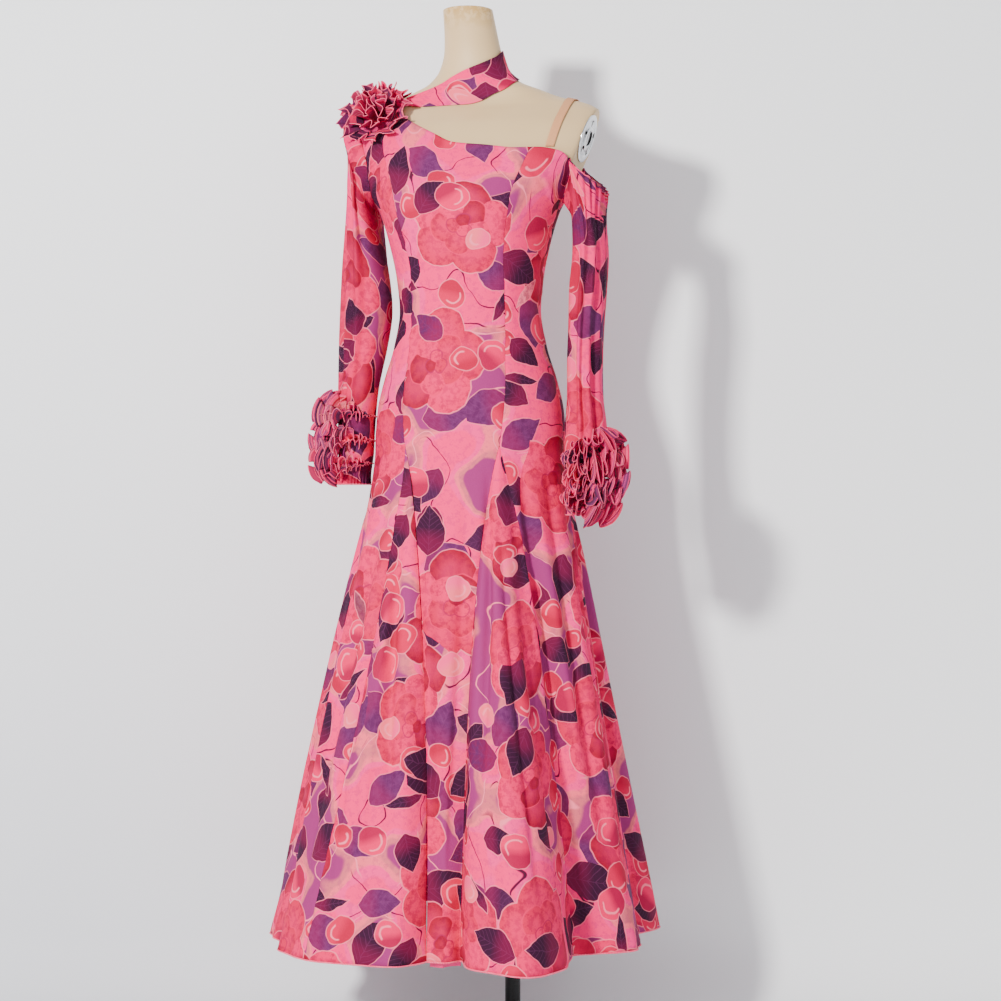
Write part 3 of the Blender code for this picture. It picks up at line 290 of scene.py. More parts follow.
def refined(grid, steps):
    """More rows between a grid's rows: a cubic through them whose slopes are half of each
    neighbour's difference."""
    slopes = np.gradient(grid, axis=0)
    t = np.arange(steps)[:, None] / steps
    t = t.reshape(1, steps, *([1] * (grid.ndim - 1)))
    a, b = grid[:-1, None], grid[1:, None]
    p, q = slopes[:-1, None], slopes[1:, None]
    rows = (a * (2 * t**3 - 3 * t**2 + 1) + b * (3 * t**2 - 2 * t**3)
            + p * (t**3 - 2 * t**2 + t) + q * (t**3 - t**2))
    return np.concatenate([rows.reshape(-1, *grid.shape[1:]), grid[-1:]])


def body_point(deg, z, inset=0.0):
    """A point of the dressed body's surface: half widths and depths by height, as an oval."""
    heights = column(BODY_SECTIONS, 0)
    half, front, back, middle = (
        curve(z, heights, column(BODY_SECTIONS, i)) for i in range(1, 5))
    turn = np.radians(deg)
    from_front = np.abs((np.asarray(deg) + 180.0) % 360.0 - 180.0)
    bust = BUST_RISE * np.exp(-((z - BUST_Z) / BUST_SPREAD_Z) ** 2
                              - ((from_front - BUST_ANGLE) / BUST_SPREAD_DEG) ** 2)
    depth = np.where(np.cos(turn) > 0, front, back)
    x = (half + bust - inset) * np.sin(turn)
    y = middle - (depth + bust - inset) * np.cos(turn)
    return np.stack(np.broadcast_arrays(x, y, z), axis=-1)


def body_frame(deg, z):
    """The body's point and its normal, from small steps round it and up it."""
    round_body = body_point(deg + 0.5, z) - body_point(deg - 0.5, z)
    up = body_point(deg, z + 0.0005) - body_point(deg, z - 0.0005)
    return body_point(deg, z), unit(np.cross(round_body, up))


def skirt_point(line, down):
    """The skirt at a place among SKIRT_LINES and a fraction of the way from hip to hem."""
    lines = np.arange(len(SKIRT_LINES))
    hip_deg, hem_deg, _, swing = (np.interp(line, lines, column(SKIRT_LINES, i)) for i in range(4))
    hem_radius = curve(hem_deg, column(SKIRT_LINES, 1), column(SKIRT_LINES, 2))
    hip = body_point(hip_deg, HIP_Z)
    hip_polar = np.degrees(np.arctan2(hip[..., 0], -hip[..., 1]))
    hip_polar = hip_polar + 360.0 * np.round((hip_deg - hip_polar) / 360.0)
    swung = (1 - np.exp(-down / swing)) / (1 - np.exp(-1 / swing))
    turn = np.radians(hip_polar + (hem_deg - hip_polar) * swung)
    flare = (down - KNEE * (1 - np.exp(-down / KNEE))) / (1 - KNEE)
    _, half, front, back, _ = BODY_SECTIONS[3]
    depth = np.where(np.cos(turn) > 0, front, back)
    half = half + (MEAN_HEM_RADIUS - half) * flare
    depth = depth + (MEAN_HEM_RADIUS - depth) * flare
    radius = 1 / np.sqrt((np.sin(turn) / half) ** 2 + (np.cos(turn) / depth) ** 2)
    radius = radius + (hem_radius - MEAN_HEM_RADIUS) * flare
    z = HIP_Z - (HIP_Z - HEM_Z) * down
    return np.stack(np.broadcast_arrays(radius * np.sin(turn), -radius * np.cos(turn), z), axis=-1)


def skirt_frame(line, down):
    """The skirt's point and its normal, from small steps round it and down it."""
    step = 0.02
    line, down = np.broadcast_arrays(line, down)
    last = len(SKIRT_LINES) - 1
    round_skirt = (skirt_point(np.minimum(line + step, last), down)
                   - skirt_point(np.maximum(line - step, 0), down))
    up = skirt_point(line, np.maximum(down - step, 0)) - skirt_point(line, np.minimum(down + step, 1))
    return skirt_point(line, down), unit(np.cross(round_skirt, up))


def line_columns(first, last):
    """Places among SKIRT_LINES about COLUMN_STEP apart at the hem and the hip, and closer still
    beside the two seams."""
    hip, hem = np.array(column(SKIRT_LINES, 0)), np.array(column(SKIRT_LINES, 1))
    round_hip = np.radians(np.diff(hip[first:last + 1])) * BODY_SECTIONS[3][1]
    round_hem = np.radians(np.diff(hem[first:last + 1])) * MEAN_HEM_RADIUS
    counts = np.maximum(np.ceil(np.maximum(round_hip, round_hem) / COLUMN_STEP), 2).astype(int)
    places = [np.linspace(i, i + 1, count + 1)[:-1] for i, count in zip(range(first, last), counts)]
    places = np.append(np.concatenate(places), last)
    near = np.array([0.25, 0.6])
    start = places[0] + (places[1] - places[0]) * near
    end = places[-1] - (places[-1] - places[-2]) * near
    return np.unique(np.concatenate([places, start, end]))


def princess_deg(z, line):
    """Degrees of a body seam at a height: the side seams run straight, the princess seams don't."""
    hip = SKIRT_LINES[line][0]
    if hip % 180 == 90:
        return np.full_like(np.asarray(z, float), hip)
    moved = curve(z, column(PRINCESS_SEAM, 0), column(PRINCESS_SEAM, 1)) - PRINCESS_SEAM[0][1]
    return hip + moved * (1 if (hip % 360) in (30, 210) else -1)


def armhole(turn):
    """Degrees and height of the armhole on the wearer's right, from its top (0) down the front."""
    mid = (ARMHOLE_TOP_Z + ARMHOLE_BOTTOM_Z) / 2
    half = (ARMHOLE_TOP_Z - ARMHOLE_BOTTOM_Z) / 2
    return 270 + ARMHOLE_HALF_DEG * np.sin(turn), mid + half * np.cos(turn)


def top_edge(deg):
    """Height of the dress's slanted top edge at a direction round the body."""
    start = -TOP_EDGE[0][0] + 1
    return curve((deg + start) % 360 - start, column(TOP_EDGE, 0), column(TOP_EDGE, 1))


def shoulder_rows(fraction, front):
    """Degrees and heights above the bust of a panel that reaches the shoulder and the armhole."""
    seam_z = BUST_Z + (NECK_POINT_Z - BUST_Z) * np.linspace(1, 0, UPPER_ROWS + 1)[:-1]
    seam_deg = princess_deg(seam_z, 29 if front else 21)
    neck = 327.0 - NECK_TURN_DEG if front else 213.0 + NECK_TURN_DEG
    seam_z = np.concatenate([[NECK_RIDGE_Z, (NECK_RIDGE_Z + NECK_POINT_Z) / 2], seam_z])
    seam_deg = np.concatenate([[270.0, neck], seam_deg])
    turns = np.radians([0, 15, 30, 60, 90, 120, 150, 180]) * (1 if front else -1)
    hole_deg, hole_z = armhole(turns)
    share = (1 - fraction) if front else fraction
    return (seam_deg[:, None] + (hole_deg - seam_deg)[:, None] * share,
            seam_z[:, None] + (hole_z - seam_z)[:, None] * share)


def panel_grid(first, last, places):
    """Degrees and heights of a panel's rows above the hip, from the top edge down."""
    hip = np.interp(places, np.arange(len(SKIRT_LINES)), column(SKIRT_LINES, 0))
    fraction = (hip - hip[0]) / (hip[-1] - hip[0])
    z = np.linspace(BUST_Z, HIP_Z, BODICE_ROWS + 1)
    left, right = princess_deg(z, first), princess_deg(z, last)
    deg = left[:, None] + (right - left)[:, None] * fraction
    z = np.repeat(z[:, None], len(places), axis=1)
    if 270 in (SKIRT_LINES[last][0], SKIRT_LINES[first][0]):
        upper_deg, upper_z = shoulder_rows(fraction, front=SKIRT_LINES[first][0] == 270)
        return np.vstack([upper_deg, deg]), np.vstack([upper_z, z])
    share = np.linspace(1, 0, UPPER_ROWS + 1)[:-1, None]
    edge_deg = np.stack([princess_deg(np.full(UPPER_ROWS, 1.40), line) for line in (first, last)])
    upper_deg = edge_deg[0][:, None] + (edge_deg[1] - edge_deg[0])[:, None] * fraction
    for end, line in ((0, first), (-1, last)):
        if SKIRT_LINES[line][0] % 360 in (330, 210):
            lift = princess_deg(BUST_Z + (NECK_POINT_Z - BUST_Z) * share[:, 0], line)
            weight = (1 - fraction) if end == 0 else fraction
            upper_deg = upper_deg + (lift - edge_deg[end])[:, None] * weight
    upper_z = BUST_Z + (top_edge(upper_deg) - BUST_Z) * share
    return np.vstack([upper_deg, deg]), np.vstack([upper_z, z])


def creased(points, normals, creases, strength):
    """The points moved along their normals: each crease is a bell of its own width across a
    straight line on the unrolled body, and it fades towards the line's two ends."""
    turn = np.degrees(np.arctan2(points[..., 0], -points[..., 1]))
    radius = np.hypot(points[..., 0], points[..., 1])
    moved = np.zeros_like(turn)
    for deg_a, z_a, deg_b, z_b, width, out in creases:
        aside = np.radians((turn - deg_a + 180) % 360 - 180) * radius
        along = np.radians(deg_b - deg_a) * radius
        fall = z_b - z_a
        share = np.clip((aside * along + (points[..., 2] - z_a) * fall) / (along**2 + fall**2), 0, 1)
        off = np.hypot(aside - along * share, points[..., 2] - z_a - fall * share)
        moved += out * np.exp(-(off / width) ** 2) * np.sin(np.pi * share) ** 0.6
    return points + normals * (moved * strength)[..., None]


def ring_normals(points):
    """Outward normals of a tube of rings whose columns run clockwise seen from above."""
    around = np.roll(points, -1, axis=1) - np.roll(points, 1, axis=1)
    return unit(np.cross(around, np.gradient(points, axis=0)))


def cloth_uv(points, ring, shift=(0.0, 0.0)):
    """Each point's place on the flat cloth in metres: along its row from the middle column, and
    down the middle column."""
    if ring:
        points = np.concatenate([points, points[:, :1]], axis=1)
    steps = np.linalg.norm(np.diff(points, axis=1), axis=-1)
    across = np.concatenate([np.zeros((len(points), 1)), np.cumsum(steps, axis=1)], axis=1)
    middle = points.shape[1] // 2
    across = across - across[:, middle:middle + 1]
    falls = np.linalg.norm(np.diff(points, axis=0), axis=-1).mean(axis=1)
    down = np.concatenate([[0.0], np.cumsum(falls)])
    down = np.broadcast_to(down[:, None], across.shape)
    return np.stack([across + shift[0], shift[1] - down], axis=-1)


def cut_size(points, ring, strip=False):
    """Width, length and area of the cloth that a grid shows, measured along it. A gathered
    strip's depth changes round it, so its length is its mean depth."""
    if ring:
        points = np.concatenate([points, points[:, :1]], axis=1)
    width = np.linalg.norm(np.diff(points, axis=1), axis=-1).sum(axis=1).max()
    depths = np.linalg.norm(np.diff(points, axis=0), axis=-1).sum(axis=0)
    length = depths.mean() if strip else depths.max()
    a, b, c, d = points[:-1, :-1], points[:-1, 1:], points[1:, 1:], points[1:, :-1]
    area = np.linalg.norm(np.cross(c - a, d - b), axis=-1).sum() / 2
    return float(width), float(length), float(area)


def surface(name, points, uv, finish, ring=False, loop=False):
    """An object of quads from a grid of points, closed round when it is a ring and end to end
    when it is a loop, with its UV map in metres. Its faces look along down times across."""
    rows, cols = points.shape[:2]
    i, j = np.meshgrid(np.arange(rows if loop else rows - 1), np.arange(cols if ring else cols - 1),
                       indexing="ij")
    corners = np.stack([np.stack([i, i + 1, i + 1, i], axis=-1),
                        np.stack([j, j, j + 1, j + 1], axis=-1)]).reshape(2, -1, 4)
    faces = (corners[0] % rows) * cols + corners[1] % cols
    mesh = bpy.data.meshes.new(name)
    mesh.vertices.add(rows * cols)
    mesh.vertices.foreach_set("co", points.reshape(-1))
    mesh.loops.add(faces.size)
    mesh.loops.foreach_set("vertex_index", faces.reshape(-1).astype(np.int32))
    mesh.polygons.add(len(faces))
    mesh.polygons.foreach_set("loop_start", np.arange(0, faces.size, 4, dtype=np.int32))
    mesh.update(calc_edges=True)
    layer = mesh.uv_layers.new(name="cloth")
    layer.data.foreach_set("uv", uv[corners[0], corners[1]].reshape(-1).astype(np.float32))
    mesh.materials.append(finish)
    mesh.shade_smooth()
    made = bpy.data.objects.new(name, mesh)
    bpy.context.scene.collection.objects.link(made)
    return made


def piece(name, points, uv, finish, ring=False, loop=False):
    """A surface that belongs to the object, with the finish it is given."""
    made = surface(name, points, uv, finish, ring, loop)
    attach(made, "root")
    return made


def weld(made):
    """Points at one place made one, as at a pole, with the faces that vanish there dropped."""
    shell = bmesh.new()
    shell.from_mesh(made.data)
    bmesh.ops.remove_doubles(shell, verts=shell.verts, dist=1e-6)
    shell.to_mesh(made.data)
    shell.free()
    made.data.set_sharp_from_angle(angle=math.radians(40))
    return made


def thicken(made, thickness, inward=True):
    """A live Solidify that turns the sheet into cloth of this thickness."""
    wall = made.modifiers.new("cloth thickness", "SOLIDIFY")
    wall.thickness = thickness
    wall.offset = -1.0 if inward else 0.0
    wall.use_even_offset = False
    return made


def roll(name, path, normals, radius, finish, closed=False, sides=8):
    """A thin roll of thread: a circle carried along a path, its spokes turned by the normals."""
    if closed:
        along = np.roll(path, -1, axis=0) - np.roll(path, 1, axis=0)
    else:
        along = np.gradient(path, axis=0)
    along = unit(along)
    out = unit(normals - np.sum(normals * along, axis=-1, keepdims=True) * along)
    side = np.cross(out, along)
    turn = 2 * np.pi * np.arange(sides) / sides
    rings = path[:, None] + radius * (out[:, None] * np.cos(turn)[:, None]
                                      + side[:, None] * np.sin(turn)[:, None])
    if closed:
        uv = cloth_uv(np.concatenate([rings, rings[:1]]), True)
        return piece(name, rings, uv, finish, ring=True, loop=True)
    ends = [np.repeat(point[None, None], sides, axis=1) for point in
            (path[0] - along[0] * radius * 0.6, path[-1] + along[-1] * radius * 0.6)]
    rings = np.concatenate([ends[0], rings, ends[1]])
    return weld(piece(name, rings, cloth_uv(rings, True), finish, ring=True))


def round_axis(place, facing, across, up, turn, radius, height):
    """Points round an axis, from their turn, their radius and their height along it."""
    return (place + facing * height[..., None]
            + (across * np.cos(turn)[..., None] + up * np.sin(turn)[..., None]) * radius[..., None])


def flip(points):
    """The same grid with its columns the other way round, so that its faces look outwards."""
    return points[:, ::-1]


def sheet_facts(points, ring, node, trims=(), strip=False):
    """Hides the frame's own solid of a piece of cloth, and measures the size of its cut, which it does not
    pass on.
    """
    width, length, area = cut_size(points, ring, strip)
    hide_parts(node)


class Wire:
    """A socket that plain arithmetic can be written with: each sign adds one Math node."""

    def __init__(self, tree, socket):
        self.tree, self.socket = tree, socket

    def math(self, operation, *others):
        node = self.tree.nodes.new("ShaderNodeMath")
        node.operation = operation
        for place, value in enumerate((self, *others)):
            if isinstance(value, Wire):
                self.tree.links.new(value.socket, node.inputs[place])
            else:
                node.inputs[place].default_value = value
        return Wire(self.tree, node.outputs[0])

    def __add__(self, other):
        return self.math("ADD", other)

    def __sub__(self, other):
        return self.math("SUBTRACT", other)

    def __mul__(self, other):
        return self.math("MULTIPLY", other)

    def __truediv__(self, other):
        return self.math("DIVIDE", other)

    def __abs__(self):
        return self.math("ABSOLUTE")

    def under(self, edge, soft):
        """One where this is under the edge, nought above it, with a ramp as wide as soft."""
        made = ((self * -1.0 + edge) / soft + 0.5)
        made.socket.node.use_clamp = True
        return made


def node_of(tree, kind, **settings):
    """A new node with its settings, and its inputs linked or set by their names."""
    node = tree.nodes.new(kind)
    for key, value in settings.items():
        if hasattr(node, key) and key not in node.inputs:
            setattr(node, key, value)
            continue
        socket = node.inputs[key.replace("_", " ")]
        if isinstance(value, Wire):
            tree.links.new(value.socket, socket)
        else:
            socket.default_value = value
    return node


def out_of(node, name=0):
    return Wire(node.id_data, node.outputs[name])


def mixed(mask, below, above):
    """The second colour over the first where the mask is one."""
    tree = mask.tree
    node = tree.nodes.new("ShaderNodeMix")
    node.data_type = "RGBA"
    tree.links.new(mask.socket, node.inputs[0])
    for place, colour in ((6, below), (7, above)):
        if isinstance(colour, Wire):
            tree.links.new(colour.socket, node.inputs[place])
        else:
            node.inputs[place].default_value = (*colour, 1.0)
    return Wire(tree, node.outputs[2])


def ramp(value, stops, interpolation="EASE"):
    """A colour ramp over a value: rows of place and colour."""
    node = value.tree.nodes.new("ShaderNodeValToRGB")
    value.tree.links.new(value.socket, node.inputs[0])
    node.color_ramp.interpolation = interpolation
    while len(node.color_ramp.elements) < len(stops):
        node.color_ramp.elements.new(1.0)
    for element, (place, colour) in zip(node.color_ramp.elements, stops):
        element.position = place
        element.color = (*colour, 1.0)
    return Wire(value.tree, node.outputs[0])


def new_group(name, inputs, outputs):
    """A node group with named sockets, and the wires of its inputs."""
    group = bpy.data.node_groups.new(name, "ShaderNodeTree")
    for title, kind in inputs:
        group.interface.new_socket(title, in_out="INPUT", socket_type=kind)
    for title, kind in outputs:
        group.interface.new_socket(title, in_out="OUTPUT", socket_type=kind)
    ends = group.nodes.new("NodeGroupInput"), group.nodes.new("NodeGroupOutput")
    return group, [Wire(group, socket) for socket in ends[0].outputs[:len(inputs)]], ends[1]


def placed(tree, group, *values):
    """A group's node with its inputs linked or set in order, and the wires of its outputs."""
    node = tree.nodes.new("ShaderNodeGroup")
    node.node_tree = group
    for socket, value in zip(node.inputs, values):
        if isinstance(value, Wire):
            tree.links.new(value.socket, socket)
        else:
            socket.default_value = value
    return [Wire(tree, socket) for socket in node.outputs]


def motif_places():
    """Scattered places of a motif. The cloth is cut into loose cells of the given spacing, and
    each gives its local x and y, turned at random, and two random numbers of its own."""
    group, (place, spacing, seed, loose), end = new_group(
        "motif places", [("Position", "NodeSocketVector"), ("Spacing", "NodeSocketFloat"),
                         ("Seed", "NodeSocketFloat"), ("Looseness", "NodeSocketFloat")],
        [(name, "NodeSocketFloat") for name in ("X", "Y", "Random A", "Random B")])
    scale = node_of(group, "ShaderNodeVectorMath", operation="DIVIDE")
    group.links.new(place.socket, scale.inputs[0])
    spread = node_of(group, "ShaderNodeCombineXYZ", X=spacing, Y=spacing, Z=1.0)
    group.links.new(spread.outputs[0], scale.inputs[1])
    moved = node_of(group, "ShaderNodeVectorMath", operation="ADD")
    group.links.new(scale.outputs[0], moved.inputs[0])
    offset = node_of(group, "ShaderNodeCombineXYZ", X=seed, Y=seed * 1.7, Z=0.0)
    group.links.new(offset.outputs[0], moved.inputs[1])
    cells = node_of(group, "ShaderNodeTexVoronoi", voronoi_dimensions="2D", Scale=1.0, Randomness=loose)
    group.links.new(moved.outputs[0], cells.inputs["Vector"])
    local = node_of(group, "ShaderNodeVectorMath", operation="SUBTRACT")
    group.links.new(moved.outputs[0], local.inputs[0])
    group.links.new(cells.outputs["Position"], local.inputs[1])
    tint = node_of(group, "ShaderNodeSeparateColor", Color=out_of(cells, "Color"))
    angle = out_of(tint, 0) * (2 * math.pi)
    turned = node_of(group, "ShaderNodeVectorRotate", rotation_type="Z_AXIS", Angle=angle)
    group.links.new(local.outputs[0], turned.inputs["Vector"])
    parts = node_of(group, "ShaderNodeSeparateXYZ", Vector=out_of(turned))
    for socket, value in zip(end.inputs, (out_of(parts, 0) * spacing, out_of(parts, 1) * spacing,
                                          out_of(tint, 1), out_of(tint, 2))):
        group.links.new(value.socket, socket)
    return group


def leaf_shape():
    """A pointed oval leaf. Distance is |y| less a half width that falls as one less x squared
    over the half length squared, fuller towards the stalk; veins are slanting stripes."""
    group, (x, y, long, wide), end = new_group(
        "leaf shape", [(name, "NodeSocketFloat") for name in ("X", "Y", "Half length", "Half width")],
        [(name, "NodeSocketFloat") for name in ("Distance", "Veins", "Along")])
    share = x / long
    width = (share * share * -1.0 + 1.0) * (share * -0.28 + 1.0) * wide
    distance = (abs(y) - width).math("MAXIMUM", abs(x) - long)
    slant = (x - abs(y) * 0.9) / (long * 0.24)
    stripe = abs(slant.math("FRACT") - 0.5)
    veins = stripe.under(0.07, 0.08).math("MAXIMUM", abs(y).under(0.0006, 0.0006))
    for socket, value in zip(end.inputs, (distance, veins, share)):
        group.links.new(value.socket, socket)
    return group


def petal_ring():
    """A ring of round petals. The angle is folded into one petal's share, so the distance is that
    of the nearest circle standing off the middle, and the petal's number gives it its own shade."""
    group, (x, y, petals, reach, round_), end = new_group(
        "petal ring", [(name, "NodeSocketFloat") for name in ("X", "Y", "Petals", "Reach", "Radius")],
        [(name, "NodeSocketFloat") for name in ("Distance", "Shade")])
    share = y.math("ARCTAN2", x) / (2 * math.pi) * petals
    number = share.math("ROUND")
    folded = (share - number) / petals * (2 * math.pi)
    radius = (x * x + y * y).math("SQRT")
    aside = radius * folded.math("SINE")
    along = radius * folded.math("COSINE") - reach
    distance = (aside * aside + along * along).math("SQRT") - round_
    shade = (number * 0.618 + 0.31).math("FRACT")
    for socket, value in zip(end.inputs, (distance, shade)):
        group.links.new(value.socket, socket)
    return group


def noise(tree, place, scale, detail=2.0, rough=0.5, name="Fac", dimensions="2D"):
    node = node_of(tree, "ShaderNodeTexNoise", noise_dimensions=dimensions, Vector=place, Scale=scale,
                   Detail=detail, Roughness=rough)
    return out_of(node, name)


def print_group(paint):
    """The cloth's print, in metres of flat cloth: soft ground patches, stems, plum leaves, coral
    blossoms of round petals, berries and striped buds, each with a thin pale outline."""
    group, (place,), end = new_group("flower print", [("Position", "NodeSocketVector")],
                                     [("Color", "NodeSocketColor")])
    spots, leaf, petals = motif_places(), leaf_shape(), petal_ring()
    shake = noise(group, place, 26.0, 2.0, 0.5, "Color")
    centred = node_of(group, "ShaderNodeVectorMath", operation="MULTIPLY_ADD")
    group.links.new(shake.socket, centred.inputs[0])
    centred.inputs[1].default_value = (0.011, 0.011, 0.0)
    group.links.new(place.socket, centred.inputs[2])
    drawn = out_of(centred)

    patches = noise(group, drawn, 8.0, 1.2, 0.45)
    ground = ramp(patches, [(0.30, paint["mauve"]), (0.405, paint["mauve"]), (0.42, paint["beige"]),
                            (0.445, paint["beige"]), (0.46, paint["peach"]), (0.480, paint["peach"]),
                            (0.49, paint["rose"]), (0.525, paint["rose"]), (0.54, paint["bright"]),
                            (0.75, paint["bright"])], "LINEAR")
    fine = noise(group, place, 95.0, 3.0, 0.65)
    ground = mixed(fine.under(0.44, 0.12) * 0.26, ground, paint["mauve"])

    lines = noise(group, drawn, 11.0, 0.6, 0.4)
    stems = abs(lines - 0.5).under(0.0055, 0.004) * patches.under(0.5, 0.03)
    colour = mixed(stems, ground, paint["outline"])
    dark_stems = abs(lines - 0.44).under(0.0060, 0.004) * (patches * -1.0).under(-0.47, 0.03)
    colour = mixed(dark_stems, colour, paint["stem"])

    def outlined(colour, distance, chosen, fill, line, wide=0.0007):
        """The motif's fill inside its distance, with a line along its edge."""
        inside = distance.under(0.0, 0.0010) * chosen
        edge = abs(distance).under(wide, 0.0010) * chosen * 0.75
        return mixed(edge, mixed(inside, colour, fill), line)

    def leaves(colour, spacing, seed, half_long, half_wide, share, light, dark):
        x, y, a, b = placed(group, spots, drawn, spacing, seed, 0.62)
        size = a * 0.35 + 0.82
        distance, veins, along = placed(group, leaf, x, y, size * half_long, size * half_wide)
        fill = mixed(fine.under(0.5, 0.25) * 0.55, light, dark)
        fill = mixed(b.under(0.35, 0.05), fill, paint["dark_plum"])
        fill = mixed(veins * 0.22, fill, paint["vein"])
        fill = mixed(along.under(-0.15, 0.5) * 0.30, fill, paint["blush"])
        return outlined(colour, distance, b.under(share, 0.001), fill, paint["outline"])

    def berries(colour, spacing, seed, size, share, light, dark):
        x, y, a, b = placed(group, spots, drawn, spacing, seed, 0.70)
        radius = (x * x * 1.12 + y * y * 0.9).math("SQRT")
        limit = (a * 0.35 + 0.82) * size
        shade = mixed((x * 0.7 + y * 0.7).under(-0.002, 0.012) * 0.65, light, dark)
        ring = abs(radius - limit * 0.62).under(0.0014, 0.0014)
        shine = ring * (y * -1.0).under(-0.004, 0.003)
        fill = mixed(shine, shade, paint["outline"])
        return outlined(colour, radius - limit, b.under(share, 0.001), fill, paint["outline"])

    def blossoms(colour, spacing, seed, size, share):
        x, y, a, b = placed(group, spots, drawn, spacing, seed, 0.55)
        chosen = b.under(share, 0.001)
        rings = ((5.0, 0.046, 0.041, "outline"), (5.0, 0.026, 0.025, "hot"), (3.0, 0.010, 0.012, "blush"))
        spin = 0.0
        for count, reach, round_, line in rings:
            turn = node_of(group, "ShaderNodeVectorRotate", rotation_type="Z_AXIS", Angle=spin)
            flat = node_of(group, "ShaderNodeCombineXYZ", X=x, Y=y * (a * 0.4 + 0.9), Z=0.0)
            group.links.new(flat.outputs[0], turn.inputs["Vector"])
            parts = node_of(group, "ShaderNodeSeparateXYZ", Vector=out_of(turn))
            distance, shade = placed(group, petals, out_of(parts, 0), out_of(parts, 1), count,
                                     reach * size, round_ * size)
            fill = ramp(shade, [(0.0, paint["coral"]), (0.30, paint["hot"]), (0.55, paint["coral"]),
                                (0.80, paint["red"])], "CONSTANT")
            fill = mixed(fine.under(0.47, 0.16) * 0.45, fill, paint["crimson"])
            fill = mixed(distance.under(-0.015 * size, 0.02) * 0.30, fill, paint["bright"])
            colour = outlined(colour, distance, chosen, fill, paint[line], 0.0009)
            spin += 0.55
        return colour

    colour = leaves(colour, 0.080, 3.3, 0.040, 0.025, 0.70, paint["plum"], paint["lilac"])
    colour = blossoms(colour, 0.190, 1.9, 0.95, 0.90)
    colour = berries(colour, 0.085, 7.1, 0.021, 0.40, paint["coral"], paint["red"])
    colour = leaves(colour, 0.092, 11.7, 0.036, 0.024, 0.44, paint["plum"], paint["plum_red"])
    colour = berries(colour, 0.112, 5.2, 0.024, 0.34, paint["hot"], paint["crimson"])
    colour = leaves(colour, 0.150, 17.3, 0.033, 0.009, 0.42, paint["outline"], paint["crimson"])
    colour = berries(colour, 0.140, 9.4, 0.017, 0.35, paint["peach"], paint["rose"])
    group.links.new(colour.socket, end.inputs[0])
    return group


def crepe_group():
    """The crepe's fine pebbled weave, a noise of two millimetres, and broader faint puckers."""
    group, (place,), end = new_group("crepe weave", [("Position", "NodeSocketVector")],
                                     [("Height", "NodeSocketFloat")])
    height = noise(group, place, 420.0, 1.0, 0.5) * 0.5 + noise(group, place, 46.0, 1.0, 0.5)
    group.links.new(height.socket, end.inputs[0])
    return group


def serge_group():
    """Overlocked thread along a roll: slanting stripes across the roll's length."""
    group, (place,), end = new_group("serged thread", [("Position", "NodeSocketVector")],
                                     [("Shade", "NodeSocketFloat"), ("Height", "NodeSocketFloat")])
    parts = node_of(group, "ShaderNodeSeparateXYZ", Vector=place)
    wave = ((out_of(parts, 1) * 2600.0 + out_of(parts, 0) * 900.0).math("SINE") * 0.5 + 0.5)
    blotch = noise(group, place, 40.0, 2.0, 0.6)
    group.links.new((wave * 0.4 + blotch * 0.9 - 0.15).socket, end.inputs[0])
    group.links.new(wave.socket, end.inputs[1])
    return group


def wear_group():
    """Wear of a hard shell: fine grain everywhere, and blotches that grow stronger above a height."""
    group, (place, start), end = new_group(
        "shell wear", [("Position", "NodeSocketVector"), ("Start height", "NodeSocketFloat")],
        [("Grain", "NodeSocketFloat"), ("Wear", "NodeSocketFloat")])
    parts = node_of(group, "ShaderNodeSeparateXYZ", Vector=place)
    above = (start - out_of(parts, 2)).under(0.0, 0.03)
    blotch = noise(group, place, 90.0, 4.0, 0.7, dimensions="3D").under(0.52, 0.12)
    group.links.new(noise(group, place, 420.0, 3.0, 0.6, dimensions="3D").socket, end.inputs[0])
    group.links.new((above * blotch).socket, end.inputs[1])
    return group


def new_material(name, roughness, **constants):
    """A material whose even values sit on the shader's own sockets."""
    made = bpy.data.materials.new(f"{name}_finish")
    made.use_nodes = True
    shader = made.node_tree.nodes["Principled BSDF"]
    shader.inputs["Roughness"].default_value = roughness
    for key, value in constants.items():
        shader.inputs[key.replace("_", " ")].default_value = value
    return made, made.node_tree, shader


def relief(tree, shader, height, strength, distance):
    bump = node_of(tree, "ShaderNodeBump", Strength=strength, Distance=distance, Height=height)
    tree.links.new(bump.outputs[0], shader.inputs["Normal"])


def cloth_place(tree):
    return out_of(node_of(tree, "ShaderNodeUVMap", uv_map="cloth"), "UV")


def colour_socket(tree, shader, colour, name="Base Color"):
    tree.links.new(colour.socket, shader.inputs[name])


